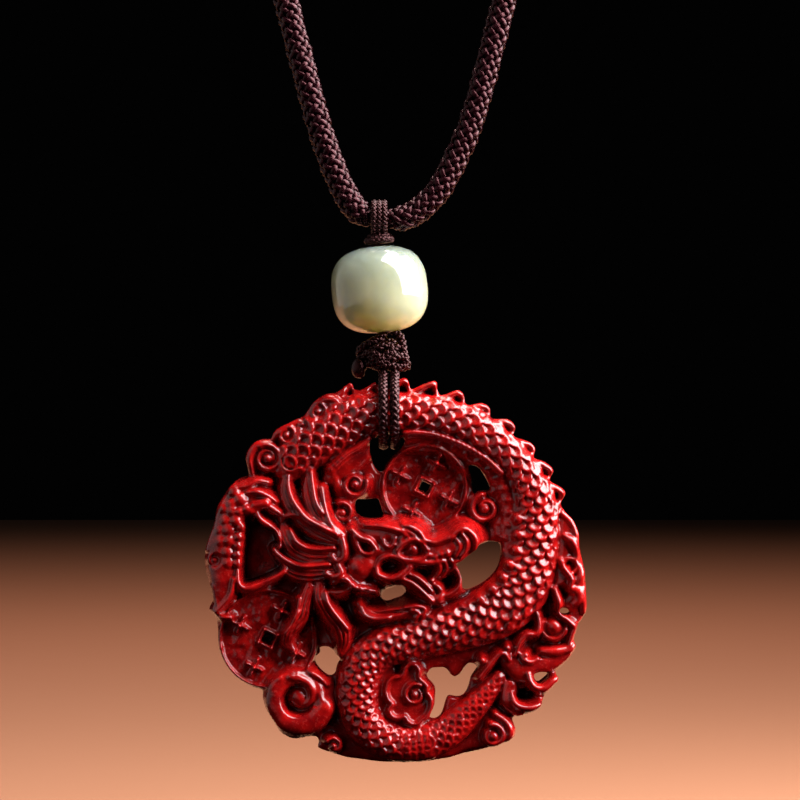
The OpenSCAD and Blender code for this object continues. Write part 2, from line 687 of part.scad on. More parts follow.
// Cloud flower in the bend of the tail: its edge in steps
flower_edge = [
    [3, -96], [0, -104], [-8, -108], [-12, -116], [-11, -124], [-6, -131], [-8, -139], [-5, -146],
    [2, -149], [9, -148], [14, -154], [22, -155], [30, -150], [33, -145], [37, -137], [38, -127],
    [37, -119], [31, -111], [27, -106], [22, -97], [12, -93]
];

module cloud_flower() {
    translate([0, 0, plate_foot]) linear_extrude(level(0.16) - plate_foot)
        polygon([for (p = flower_edge) p * step]);
    ridge([
        [4, -98, 2, 0.32], [0, -105, 2.4, 0.36], [-9, -110, 2.4, 0.36], [-11, -121, 2.6, 0.38],
        [-6, -130, 2.4, 0.36], [-7, -139, 2.6, 0.36], [-2, -147, 2.6, 0.38], [8, -148, 2.4, 0.36],
        [16, -153, 2.2, 0.3]
    ]);
    ridge([[20, -95, 2, 0.34], [25, -103, 2.4, 0.38], [31, -117, 2.4, 0.38], [33, -130, 2.2, 0.34]]);
}

module fins() {
    ridge([[167, 33, 2.4, 0.42], [174, 27, 3.4, 0.48], [179, 18, 3, 0.44], [178, 11, 2.2, 0.38]]);
    ridge([[164, 3, 2.2, 0.4], [167, 10, 2.8, 0.44], [174, 12, 2.8, 0.44], [179, 8, 2.2, 0.4]]);
    ridge([[162, 11, 2.4, 0.42], [167, -2, 3, 0.46], [172, -12, 3.4, 0.48], [173, -22, 2.6, 0.44]]);
    ridge([[182, 2, 3, 0.36], [184, -10, 3.6, 0.4], [185, -26, 3.6, 0.4], [184, -42, 3, 0.34]]);
    ridge([
        [158, -20, 2.4, 0.44], [158, -32, 3, 0.48], [163, -46, 3, 0.48], [176, -57, 2.6, 0.4]
    ]);
    ridge([
        [118, -83, 2.4, 0.42], [121, -71, 3, 0.48], [129, -63, 3, 0.48], [139, -62, 3, 0.46],
        [142, -50, 2.8, 0.46], [140, -38, 2.4, 0.44]
    ]);
    ridge([
        [131, -105, 2.6, 0.4], [134, -114, 3.4, 0.46], [142, -118, 3.6, 0.46],
        [151, -115, 3.4, 0.42], [158, -109, 2.6, 0.36]
    ]);
    ridge([
        [117, -128, 2.6, 0.4], [119, -135, 3.4, 0.44], [127, -138, 3.6, 0.44],
        [136, -136, 3.4, 0.4], [143, -133, 2.6, 0.34]
    ]);
    ridge([[146, -79, 3, 0.4], [156, -84, 5, 0.44], [168, -83, 5, 0.42], [175, -77, 3, 0.36]]);
    ridge([[90, -97, 2.4, 0.36], [96, -88, 3, 0.42], [104, -82, 3, 0.42], [112, -88, 2.4, 0.38]]);
    mass([[114, -100, 8, 0.34], [124, -92, 7, 0.36], [126, -108, 6, 0.3]]);
    mass([[106, -136, 5, 0.26], [120, -116, 5, 0.3]]);
    ridge([[100, -143, 2, 0.3], [108, -150, 2.6, 0.34], [114, -158, 2.6, 0.34], [111, -169, 2, 0.3]]);
}

module pendant() {
    room = strand_r + strand_gap;
    // Cuts start this far below the back face and end this far over the top
    over = 1;
    color(cinnabar_colour) in_disc_frame() difference() {
        union() {
            linear_extrude(ground_h) polygon([for (p = outline) p * step]);
            dragon_body();
            for (row = spines) spine(row);
            coin(coin_top[0], coin_top[1], coin_top[2], level(0.08), coin_top[3]);
            coin(coin_low[0], coin_low[1], coin_low[2], level(0.12), coin_low[3]);
            clouds();
            great_scroll();
            cloud_flower();
            fins();
            foreleg();
            mane();
            head();
        }
        for (gap = gaps)
            translate([0, 0, -over]) linear_extrude(level(1) + 3 * over)
                polygon([for (p = gap) p * step]);
        for (hollow = [hollow_by_foreleg, hollow_by_fin])
            translate([0, 0, hollow_floor]) linear_extrude(level(1) + over)
                polygon([for (p = hollow) p * step]);
        translate([coin_top[0] * step, coin_top[1] * step, 0]) rotate([0, 0, coin_top[3]])
            cube([coin_hole * step, coin_hole * step, 3 * level(1)], center = true);
        strand(strand_left, room);
        strand(strand_right, room);
    }
}

neck_cord_left();
neck_cord_right();
back_knot();
hanger_loop();
jade_bead();
bead_thread();
lower_knot();
pendant_loop_left();
pendant_loop_right();
pendant();
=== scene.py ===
# Necklace with a carved, pierced dragon disc, a jade barrel bead and a braided neck cord.
# The frame is in metres, the necklace hangs in the XZ plane, and its front faces -Y.
import json
import math

import bmesh
import bpy
import numpy as np
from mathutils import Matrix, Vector
from mathutils.geometry import delaunay_2d_cdt


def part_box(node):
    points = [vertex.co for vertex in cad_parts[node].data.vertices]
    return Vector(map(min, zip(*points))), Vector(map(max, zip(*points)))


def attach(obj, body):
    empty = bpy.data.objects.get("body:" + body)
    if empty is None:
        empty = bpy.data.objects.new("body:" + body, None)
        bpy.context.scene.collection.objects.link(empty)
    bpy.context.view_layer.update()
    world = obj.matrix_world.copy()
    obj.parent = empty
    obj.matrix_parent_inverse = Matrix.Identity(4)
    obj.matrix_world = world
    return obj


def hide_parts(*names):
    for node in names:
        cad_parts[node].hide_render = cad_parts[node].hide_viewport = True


MM = 0.001

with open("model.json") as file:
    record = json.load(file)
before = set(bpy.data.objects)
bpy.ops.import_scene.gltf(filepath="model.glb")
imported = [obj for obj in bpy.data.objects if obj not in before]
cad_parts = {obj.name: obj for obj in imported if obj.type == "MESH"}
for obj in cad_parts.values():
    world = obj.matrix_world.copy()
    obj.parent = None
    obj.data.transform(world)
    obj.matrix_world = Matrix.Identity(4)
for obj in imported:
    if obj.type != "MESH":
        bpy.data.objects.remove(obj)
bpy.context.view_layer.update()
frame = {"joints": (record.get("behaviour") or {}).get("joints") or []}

# Places and sizes that the frame gives
disc_low, disc_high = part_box("pendant")
bead_low, bead_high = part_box("jade_bead")
hinge = Vector(frame["joints"][0]["pos_m"])

# The carving is drawn in small steps from the middle of the disc; its CAD outline spans these
STEPS_LEFT = 192
STEPS_RIGHT = 189
STEPS_DOWN = 193
STEP = (disc_high.x - disc_low.x) / (STEPS_LEFT + STEPS_RIGHT)
STEP_MM = STEP / MM
DISC_X = disc_low.x + STEPS_LEFT * STEP
DISC_Z = disc_low.z + STEPS_DOWN * STEP
BACK_Y = disc_high.y

# Thickness of the ground between the raised forms, and rise of the tallest relief, in mm
GROUND = 2.8
RELIEF = 4.8

# Spacing of the carving's mesh, in steps
GRID = 1.15


# Lines and curves

def smooth(rows, parts, closed=False):
    """Smooth curve through the rows of a table, with parts points from each row to the next."""
    p = np.array(rows, float)
    if closed:
        p = np.vstack([p[-1:], p, p[:2]])
    else:
        p = np.vstack([2 * p[:1] - p[1:2], p, 2 * p[-1:] - p[-2:-1]])
    t = (np.arange(parts) / parts)[:, None]
    spans = []
    for a, b, c, d in zip(p[:-3], p[1:-2], p[2:-1], p[3:]):
        bend = (2 * a - 5 * b + 4 * c - d) * t**2 + (3 * b - a - 3 * c + d) * t**3
        spans.append(0.5 * (2 * b + (c - a) * t + bend))
    line = np.vstack(spans)
    return line if closed else np.vstack([line, p[-2:-1]])


def level(rise):
    """Height over the back face in mm, from 0 at the ground to 1 at the top of the head."""
    return GROUND + RELIEF * rise


def dome(u):
    return np.sqrt(np.clip(1 - u * u, 0, 1))


def winding(x, y, r, turn, start, way, width, rise, end=0.42, parts=28):
    """Rows of a ridge that winds in from radius r; angles in degrees, way 1 is anticlockwise."""
    rows = []
    for i in range(parts + 1):
        s = i / parts
        angle = math.radians(start + way * turn * s)
        radius = r * (1 - (1 - end) * s)
        rows.append([x + radius * math.cos(angle), y + radius * math.sin(angle),
                     width * (1 - 0.35 * s), rise - 0.08 * s])
    return rows


def from_outline(corners, x, y):
    """Distance of points to a closed outline, below zero inside it."""
    nearest = np.full(x.shape, 1e9)
    inside = np.zeros(x.shape, bool)
    for a, b in zip(corners, np.roll(corners, -1, axis=0)):
        way = b - a
        t = ((x - a[0]) * way[0] + (y - a[1]) * way[1]) / max(way @ way, 1e-9)
        t = np.clip(t, 0, 1)
        nearest = np.minimum(nearest, np.hypot(x - a[0] - t * way[0], y - a[1] - t * way[1]))
        if a[1] != b[1]:
            crosses = (a[1] > y) != (b[1] > y)
            inside ^= crosses & (x < a[0] + (y - a[1]) * way[0] / way[1])
    return np.where(inside, -nearest, nearest)


def blurred(values, spread):
    """Soft copy of a grid of values; spread in grid cells."""
    reach = int(3 * spread) + 1
    kernel = np.exp(-0.5 * (np.arange(-reach, reach + 1) / spread) ** 2)
    kernel /= kernel.sum()
    for axis in (0, 1):
        padded = np.pad(values, [(reach, reach) if a == axis else (0, 0) for a in (0, 1)], "edge")
        values = np.apply_along_axis(np.convolve, axis, padded, kernel, "valid")
    return values


# How crossing forms melt together, in mm, and the slope of their side walls
FILLET = 0.4
WALL = 3.2
# Room that the walls of the tallest form take, in steps
WALL_REACH = 12
# Share of the half width where a rounded top goes over into its wall
SHOULDER = 0.96
# Narrowest half width of a strand, in steps
FINEST = 0.4
# How much sharper than a dome a ridge is that is laid on a form
RIDGE_SHARPNESS = 2.6


class Carving:
    """Height of the disc's front over its back face, in mm, on a square grid of steps."""

    def __init__(self):
        places = np.arange(-200, 200 + GRID, GRID)
        self.x, self.y = np.meshgrid(places, places)
        self.height = np.full(self.x.shape, float(GROUND))

    def window(self, low, high):
        """Part of the grid from one corner to the other."""
        first = np.searchsorted(self.x[0], low) - 1
        last = np.searchsorted(self.x[0], high) + 1
        return (slice(max(first[1], 0), last[1]), slice(max(first[0], 0), last[0]))

    def near(self, line):
        """Window round a line, with the place across it in half widths and the line's other
        columns there."""
        line[:, 2] = np.maximum(line[:, 2], FINEST)
        margin = line[:, 2].max() + WALL_REACH
        window = self.window(line[:, :2].min(0) - margin, line[:, :2].max(0) + margin)
        x, y = self.x[window], self.y[window]
        across = np.full(x.shape, 1e3)
        others = np.ones((line.shape[1] - 2, *x.shape))
        for a, b in zip(line[:-1], line[1:]):
            way = b[:2] - a[:2]
            length = math.hypot(*way)
            if length < 1e-6:
                continue
            t = ((x - a[0]) * way[0] + (y - a[1]) * way[1]) / length**2
            t = np.clip(t, 0, 1)
            off_x = x - a[0] - t * way[0]
            off_y = y - a[1] - t * way[1]
            width = a[2] + (b[2] - a[2]) * t
            place = np.hypot(off_x, off_y) / width
            side = np.where(way[0] * off_y - way[1] * off_x < 0, -1, 1)
            closer = place < np.abs(across)
            across = np.where(closer, place * side, across)
            for i in range(len(others)):
                others[i] = np.where(closer, a[i + 2] + (b[i + 2] - a[i + 2]) * t, others[i])
        return window, across, others

    def merge(self, window, shape):
        """Raises the window to a shape, with a rounded inner corner where the two cross."""
        old = self.height[window]
        t = np.clip(0.5 + 0.5 * (shape - old) / FILLET, 0, 1)
        self.height[window] = old + (shape - old) * t + FILLET * t * (1 - t)

    def strand(self, rows, parts=5, fullness=0.9, flutes=0, flute=0.3):
        """Rounded strand with its top at the rows' rise; flutes are grooves along it."""
        window, u, (half, rise) = self.near(smooth(rows, parts))
        core = np.clip(u, -SHOULDER, SHOULDER)
        drop = fullness * (1 - dome(core)) + WALL * np.abs(u - core)
        shape = level(rise) - half * STEP_MM * drop
        if flutes:
            shape -= flute * (0.5 + 0.5 * np.cos(math.pi * (flutes + 1) * core)) * dome(core)
        self.merge(window, shape)

    def lift(self, rows, height, parts=5):
        """Adds a soft ridge, or below zero a groove; the rows' last column is its strength."""
        window, u, (half, strength) = self.near(smooth(rows, parts))
        self.height[window] += height * strength * dome(u) ** RIDGE_SHARPNESS

    def boss(self, x, y, r, rise, fullness=0.8):
        """Round form with a domed top; fullness is how far the top falls to its wall."""
        reach = r + WALL_REACH
        window = self.window([x - reach, y - reach], [x + reach, y + reach])
        u = np.hypot(self.x[window] - x, self.y[window] - y) / r
        core = np.minimum(u, SHOULDER)
        drop = fullness * (1 - dome(core)) + WALL * (u - core)
        self.merge(window, level(rise) - r * STEP_MM * drop)

    def strands(self, table, fullness, parts=6):
        for rows in table:
            self.strand(rows, parts, fullness)

    def bosses(self, table, fullness=1.0):
        for x, y, r, rise in table:
            self.boss(x, y, r, rise, fullness)

    def dish(self, x, y, r, depth):
        """Round hollow of a depth in mm."""
        window = self.window([x - r, y - r], [x + r, y + r])
        u = np.hypot(self.x[window] - x, self.y[window] - y) / r
        self.height[window] -= depth * np.clip(1 - u**2, 0, 1) ** 1.2

    def spiral(self, x, y, r, rise, turn, start, way, boss=0.24, width=0.12):
        """Cloud curl: a ridge that winds in to a small boss over a sunken bed."""
        self.dish(x, y, r, 1.0)
        half = r * width
        self.strand(winding(x, y, r - half, turn, start, way, half, rise), 1, 1.1)
        self.boss(x, y, r * boss, rise - 0.02)

    def plate(self, corners, top, edge=0.25):
        """Flat form with a rounded edge; top and edge in mm."""
        corners = np.array(corners, float)
        reach = WALL_REACH
        window = self.window(corners.min(0) - reach, corners.max(0) + reach)
        depth = -from_outline(corners, self.x[window], self.y[window]) * STEP_MM
        u = np.clip(1 - depth / edge, 0, 1)
        self.merge(window, top - edge * (1 - dome(u)) - WALL * np.clip(-depth, 0, None))

    def sink(self, corners, floor, edge=0.5):
        """Hollow with its floor at a height in mm and rounded sides."""
        corners = smooth(corners, 3, closed=True)
        window = self.window(corners.min(0) - GRID, corners.max(0) + GRID)
        depth = -from_outline(corners, self.x[window], self.y[window]) * STEP_MM
        old = self.height[window]
        share = np.clip(depth / edge, 0, 1)
        self.height[window] = old - np.clip(old - floor, 0, None) * share**0.7


# Drawing of the disc, in steps. Rows of points are x and y.
# Rows of strands are x, y, half width and rise; rows of grooves end in their strength.

# Fin rays along the back, each from its left foot over its tip to its right foot
SPINES = [
    [(-58, 178), (-52, 183), (-47, 186), (-44, 184), (-43, 180)],
    [(-38, 179), (-30, 182), (-24, 186), (-20, 186), (-15, 179)],
    [(-7, 181), (0, 188), (6, 191), (10, 190), (12, 186), (13, 181)],
    [(16, 180), (24, 184), (32, 187), (37, 188), (40, 186), (40, 180), (42, 175)],
    [(46, 174), (54, 177), (60, 179), (65, 177), (67, 172), (68, 166)],
    [(72, 164), (78, 165), (85, 166), (91, 163), (93, 158), (93, 152)],
    [(97, 150), (104, 150), (110, 150), (116, 146), (118, 141), (116, 135)],
    [(118, 132), (124, 130), (130, 128), (135, 125), (138, 120), (136, 113)],
    [(139, 110), (146, 108), (152, 104), (156, 99), (154, 94), (152, 90)],
    [(154, 87), (160, 84), (166, 80), (168, 76), (165, 70), (163, 65)],
    [(168, 57), (174, 51), (178, 44), (181, 36), (181, 28)],
]
RIGHT_EDGE = [
    (182, 20), (184, 12), (187, -2), (188, -20), (189, -35), (188, -43), (184, -50), (180, -55),
    (178, -62), (176, -70), (178, -76), (176, -82), (170, -90), (163, -97), (158, -101),
    (159, -105), (161, -109), (158, -113), (153, -119), (147, -127), (145, -131), (143, -136),
    (138, -141), (130, -144), (122, -146), (117, -147), (115, -150), (118, -158), (118, -165),
    (114, -169), (108, -172), (95, -177), (80, -181),
]
LOWER_EDGE = [
    (66, -184), (53, -188), (35, -191), (15, -193), (0, -193), (-20, -192), (-35, -190),
    (-50, -188), (-60, -185), (-70, -182), (-79, -178), (-78, -173), (-79, -169), (-82, -167),
    (-88, -167), (-97, -169), (-105, -169), (-112, -166), (-117, -162), (-121, -154),
    (-126, -146), (-131, -138), (-134, -128), (-134, -121),
]
LEFT_EDGE = [
    (-140, -119), (-150, -115), (-160, -108), (-168, -100), (-174, -90), (-178, -78), (-179, -62),
    (-180, -50), (-183, -44), (-188, -40), (-184, -32), (-183, -28), (-185, -20), (-188, -10),
    (-191, 0), (-192, 10), (-191, 20), (-188, 30), (-184, 40), (-181, 50), (-180, 60),
    (-176, 68), (-170, 78), (-163, 86), (-157, 91), (-150, 93), (-148, 95), (-149, 103),
    (-151, 112), (-148, 120), (-142, 127), (-134, 130), (-126, 130), (-124, 134), (-121, 139),
    (-115, 143), (-108, 146), (-103, 149), (-97, 151), (-92, 154), (-88, 160), (-83, 167),
    (-76, 172), (-70, 175), (-62, 176),
]

# Gaps that go right through
GAPS = [
    # Over the upper coin, where the cord passes
    [(-24, 131), (6, 131), (5, 122), (0, 117), (-6, 111), (-11, 104), (-14, 98), (-19, 98),
     (-23, 104), (-26, 112), (-27, 121)],
    # By the curl over the forehead
    [(-40, 70), (-30, 70), (-20, 71), (-17, 66), (-15, 59), (-14, 53), (-21, 51), (-30, 51),
     (-37, 53), (-41, 57), (-42, 63)],
    # Crescent between the upper coin and the back
    [(71, 103), (76, 104), (82, 101), (87, 94), (91, 87), (93, 80), (88, 78), (82, 78), (77, 75),
     (75, 82), (74, 92)],
    # By the snout
    [(78, 21), (82, 26), (92, 28), (101, 27), (104, 20), (103, 9), (99, -1), (92, -9), (84, -15),
     (76, -19), (69, -21), (65, -18), (64, -8), (61, 1), (59, 6), (64, 10), (70, 15)],
    # Under the jaw
    [(-16, -27), (-12, -20), (-4, -17), (1, -15), (6, -17), (8, -22), (5, -27), (-3, -30),
     (-9, -32), (-14, -31)],
    # Left of the lower bend
    [(-77, -78), (-72, -77), (-67, -78), (-62, -83), (-57, -90), (-60, -96), (-62, -104),
     (-67, -107), (-73, -104), (-79, -98), (-82, -92), (-80, -86), (-77, -83)],
    # Three-lobed gap by the cloud flower
    [(30, -105), (34, -99), (41, -98), (47, -98), (51, -101), (54, -105), (58, -107), (63, -104),
     (67, -98), (71, -94), (76, -94), (80, -98), (78, -102), (74, -108), (72, -116), (69, -123),
     (65, -127), (59, -128), (52, -127), (49, -131), (46, -141), (43, -147), (38, -150),
     (33, -149), (33, -144), (37, -135), (38, -126), (38, -119), (35, -114), (31, -110)],
    # Small ones by the fin and the prong
    [(163, -38), (170, -39), (172, -44), (166, -45), (162, -42)],
    [(136, -105), (141, -102), (148, -102), (151, -105), (146, -110), (140, -113)],
]

# Dark hollows that stop part of the way down
HOLLOWS = [
    [(-150, 52), (-140, 52), (-134, 45), (-122, 40), (-118, 32), (-117, 25), (-124, 22),
     (-118, 10), (-113, 2), (-125, -7), (-150, -15), (-155, -8), (-154, 15), (-151, 35)],
    [(120, -121), (128, -119), (136, -122), (137, -127), (130, -130), (121, -129)],
]
HOLLOW_FLOOR = 1.3

# Body from the mane over the top, down the right side and back to the lower bend: x, y, half
# width, rise, spacing of the scales' lanes across it, their pitch along it, and the place across
# it where they end on the belly side
BODY = [
    (-106, 108, 21, 0.55, 8.2, 17, -1), (-84, 126, 25, 0.64, 8.4, 17, -1),
    (-60, 142, 28, 0.68, 8.4, 17, -1), (-32, 153, 24, 0.7, 8.2, 17, -1),
    (0, 157, 21, 0.72, 8, 17, -1), (38, 154, 20.5, 0.72, 7.6, 17, -1),
    (70, 145, 20.5, 0.72, 7.4, 17, -0.95), (92, 131, 20, 0.72, 7.4, 16.6, -0.9),
    (110, 116, 19, 0.72, 7.4, 16.6, -0.85), (124, 99, 19, 0.72, 7.4, 16.6, -0.8),
    (133, 80, 22, 0.72, 7.5, 16.6, -0.7), (137, 60, 25, 0.72, 7.6, 16.6, -0.6),
    (136, 40, 27, 0.72, 7.7, 16.6, -0.52), (133, 20, 29, 0.72, 7.8, 16.6, -0.5),
    (129, 0, 30, 0.72, 7.8, 16.6, -0.5), (122, -18, 31, 0.72, 7.8, 16.6, -0.5),
    (106, -36, 30, 0.72, 7.8, 16.8, -0.6), (80, -50, 27, 0.72, 7.8, 17, -0.75),
    (48, -60, 25, 0.7, 7.8, 17, -0.9), (15, -70, 22, 0.68, 7.4, 15.4, -1),
    (-15, -79, 21, 0.66, 6.8, 13.4, -1), (-33, -96, 22, 0.65, 6.5, 12.8, -1),
    (-39, -120, 22, 0.64, 6.4, 12.6, -1), (-37, -143, 21, 0.62, 6.4, 12.6, -1),
    (-24, -162, 20, 0.58, 6.6, 13, -1), (0, -173, 18.5, 0.55, 6.8, 13.4, -1),
    (29, -172, 18.5, 0.52, 6.6, 12.6, -1),
]
TAIL = [
    (10, -174, 18, 0.53, 6.6, 12.6, -1), (29, -172, 18.5, 0.52, 6.4, 12, -1),
    (55, -158, 17, 0.5, 5.6, 10.6, -1), (75, -139, 14, 0.48, 5, 9.6, -1),
    (90, -122, 11.5, 0.45, 4.6, 9, -1), (102, -107, 8, 0.4, 4.2, 8.6, -1),
]

# Coins: middle, radius, rise of the face and angle of the square
COIN_TOP = (27.5, 82, 43.5, 0.0, -27)
COIN_LOW = (-128.5, -69, 50, 0.03, -26)
# Half widths of the rim and of the lines round the square, then sides of their square and of the
# hole, all in steps; rounding of a coin's edge and height of its rim and lines, in mm
COIN_RIM = 1.9
COIN_LINE = 2.1
COIN_SQUARE = 14.6
COIN_HOLE = 9
COIN_EDGE = 0.2
COIN_LIFT = 0.95
# Stars: place as a share of the coin's radius, reach of a ray in steps, and height in mm
STAR_PLACE = 0.62
STAR_REACH = 9
STAR_LIFT = 1.5

# Cloud curls: x, y, radius, rise, turn, start angle, way
CURLS = [
    (-129, 111, 16, 0.44, 500, 120, -1), (-110, 134, 10.5, 0.46, 400, 70, -1),
    (-94, 144.5, 7, 0.46, 330, 60, -1), (-78.5, 157.5, 9.5, 0.5, 420, 60, -1),
    (-42, 85, 14.5, 0.44, 430, 20, -1), (-54, 57, 12, 0.48, 330, 110, -1),
    (87.5, 61, 16.5, 0.44, 400, 100, 1), (-62.8, -175, 9.5, 0.4, 300, 150, -1),
    (17.8, -124.5, 12.5, 0.42, 430, 60, 1),
]

# Locks of the mane, from the tip to the root; each row of a lock is x, y, half width and rise
LOCKS = [
    [(-86, 100, 2.6, 0.48), (-88, 84, 5, 0.58), (-84, 66, 6.5, 0.66), (-76, 52, 6.5, 0.72),
     (-64, 42, 5.5, 0.78), (-54, 34, 4, 0.82)],
    [(-73, 81, 2.4, 0.52), (-73.5, 64, 4.5, 0.62), (-68, 49, 5, 0.72), (-57, 35, 4, 0.82)],
    [(-109, 96, 3, 0.46), (-110.5, 80, 6, 0.56), (-104, 64, 7.5, 0.64), (-92, 50, 8.5, 0.68),
     (-78, 39.5, 8.5, 0.74), (-63, 32, 6, 0.8), (-54, 29, 4, 0.82)],
    [(-113, 49, 2.6, 0.46), (-110, 36, 6, 0.56), (-102, 23, 8, 0.62), (-88, 16, 8.5, 0.68),
     (-72, 15, 7, 0.74), (-57, 17, 4.5, 0.8)],
    [(-128, 24, 2.4, 0.46), (-116, 11, 5, 0.54), (-104, 0, 8, 0.6), (-88, -3, 9.5, 0.66),
     (-64, -1, 7.5, 0.76)],
    [(-87, -17, 5, 0.6), (-92, -32, 6.5, 0.64), (-96, -46, 7.5, 0.62), (-105, -58, 6.5, 0.56),
     (-109, -71, 5, 0.5), (-103, -81, 2.6, 0.42)],
    [(-76, -14, 5, 0.66), (-75, -28, 7, 0.7), (-67, -42, 8.5, 0.7), (-57, -55, 9, 0.66),
     (-53, -69, 7, 0.58), (-56, -84, 2.6, 0.44)],
]
# Sharp crests of the locks
CRESTS = [
    [(-108, 93, 1.6, 0.52), (-107.6, 82, 2, 0.62), (-103, 69, 2.2, 0.7), (-92, 54, 2.4, 0.76),
     (-83, 47.5, 2.4, 0.8), (-72, 42, 2.2, 0.84), (-60, 36, 2, 0.88)],
    [(-85, 98, 1.6, 0.54), (-84, 86, 1.9, 0.62), (-80.5, 68, 2, 0.72), (-74, 57, 1.8, 0.76)],
    [(-75, 82, 1.8, 0.58), (-73.7, 74, 1.8, 0.62), (-70, 58, 2, 0.72), (-66, 47, 2, 0.78),
     (-60, 38, 2, 0.84)],
    [(-116, 50, 1.8, 0.46), (-112, 53, 2.4, 0.56), (-103, 55, 2.6, 0.64), (-93, 53.5, 2.2, 0.7)],
    [(-106, 40, 1.5, 0.6), (-100, 29, 1.7, 0.68), (-90, 22.5, 1.8, 0.74), (-76, 21, 1.8, 0.78),
     (-62, 22, 1.8, 0.82)],
    [(-124, 22, 1.4, 0.5), (-117, 15, 1.8, 0.56), (-106, 7.5, 2, 0.64), (-92, 4, 2.2, 0.72),
     (-67, 6, 2, 0.8)],
    [(-97, -28, 1.4, 0.62), (-99, -42, 1.6, 0.66), (-103, -52, 1.6, 0.62), (-111, -63, 1.6, 0.56)],
    [(-71, -22, 1.6, 0.72), (-68, -33, 1.9, 0.76), (-59, -46, 2, 0.74), (-49, -58, 2, 0.68)],
]

# Scales: rise along the body and out from the middle of each, as slopes; fall in mm over the
# rounded free edge; and where the fall starts, as shares of the way to the tip and the side
SCALE_SLOPE = 0.48
SCALE_CUP = 0.2
SCALE_FALL = 0.62
SCALE_CREST = (0.5, 0.9)
# Length of a scale's free part as a share of the pitch, its half width as a share of the lanes'
# spacing, and how far it may stand over or under the body, in mm
SCALE_TIP = 0.46
SCALE_HALF = 0.98
SCALE_PROUD = 0.6
# The body's section is fuller than a circle; rises from which its height counts and at its foot
BODY_FULLNESS = 2.6
BODY_BASE = 0.1
BODY_FOOT = 0.04
# Scales lean no further round the body than this place across it and no steeper than this slope
SCALE_PLACE = 0.93
SCALE_STEEPEST = 1.3
# Part of the half width over which the scales run out at the sides and at the belly
SIDE_FADE = 0.08
BELLY_FADE = 0.06


def section(place):
    """Height of the body's section, from 1 at its middle to 0 at its sides."""
    return np.sqrt(1 - np.clip(np.abs(place), 0, 1) ** BODY_FULLNESS)


def scale(along, across, tip, radius):
    """Height of one scale, and where it is; along in mm from its middle, across in half widths."""
    free = np.clip(along / tip, 0, None)
    out = np.maximum(np.hypot(free, across), 1e-3)
    crest = out / np.hypot(free / SCALE_CREST[0], across / SCALE_CREST[1])
    fall = np.clip((out - crest) / (1 - crest), 0, 1) ** 2
    rise = SCALE_CUP * radius * np.minimum(out, crest)
    return SCALE_SLOPE * along, rise, SCALE_FALL * fall, out < 1


def body(carving, rows):
    """Scaled body: every scale rises to its round free edge, which points to the tail."""
    line = smooth(rows, 6)
    lengths = np.hypot(*np.diff(line[:, :2], axis=0).T)
    turns = np.concatenate([[0], np.cumsum(lengths / line[:-1, 5])])
    window, u, (half, rise, lane_w, pitch, belly_end, turns) = carving.near(
        np.column_stack([line, turns]))
    crown = level(rise) - level(BODY_BASE)
    lane = np.arcsin(np.clip(u, -1, 1)) * half / lane_w
    radius = lane_w * STEP_MM
    tip = SCALE_TIP * pitch * STEP_MM
    top = np.full(u.shape, -1.0)
    for lane_step in (-1, 0, 1):
        number = np.round(lane) + lane_step
        # Each scale is flat across, on the tangent of the body at its middle
        middle = np.clip(np.sin(number * lane_w / half), -SCALE_PLACE, SCALE_PLACE)
        tangent = (section(middle + 0.01) - section(middle - 0.01)) / 0.02
        tangent = np.clip(tangent, -SCALE_STEEPEST, SCALE_STEEPEST)
        plane = crown * (section(middle) + tangent * (u - middle) - section(u))
        across = (lane - number) / SCALE_HALF
        place = turns - 0.5 * (number % 2)
        for row_step in (-1, 0, 1):
            along = (place - np.round(place) - row_step) * pitch * STEP_MM
            slope, cup, fall, here = scale(along, across, tip, radius)
            top = np.maximum(top, np.where(here, plane + slope + cup - fall, -1.0))
    side = np.abs(u)
    fade = np.clip((1 - side) / SIDE_FADE, 0, 1)
    fade *= np.clip((u - belly_end) / BELLY_FADE + 1, 0, 1)
    top = np.clip(top, -SCALE_PROUD, SCALE_PROUD) * fade
    carving.merge(window, np.where(side < 1, level(BODY_FOOT) + crown * section(u) + top, 0))


# Fin ray: half width in steps, how much less that is past the tip, and rise
SPINE_HALF = 3.2
SPINE_THINNER = 0.6
SPINE_RISE = 0.36
# Recess in a fin ray: how far it moves inward, as a share of the way from the disc's middle to
# the tip, its radius in steps and its depth in mm
SPINE_INWARD = 0.012
SPINE_DISH_R = 6
SPINE_DISH = 0.7


def spines(carving):
    """Fin rays: a thick rounded ridge up to the tip, a thin one down, and a recess between."""
    for row in SPINES:
        points = np.array(row, float)
        inward = -points / np.hypot(*points.T)[:, None]
        base = (points[0] + points[-1]) / 2
        tip = len(row) - 2
        rows = [(*(point + way * SPINE_HALF), SPINE_HALF - SPINE_THINNER * (i > tip), SPINE_RISE)
                for i, (point, way) in enumerate(zip(points, inward))]
        carving.strand(rows, 4, fullness=1.0)
        middle = (base + points[tip]) / 2 - points[tip] * SPINE_INWARD
        carving.dish(middle[0], middle[1], SPINE_DISH_R, SPINE_DISH)


def square(x, y, side, angle):
    turned = math.radians(angle)
    return [(x + side * math.sqrt(0.5) * math.cos(turned + math.pi / 4 + k * math.pi / 2),
             y + side * math.sqrt(0.5) * math.sin(turned + math.pi / 4 + k * math.pi / 2))
            for k in range(4)]


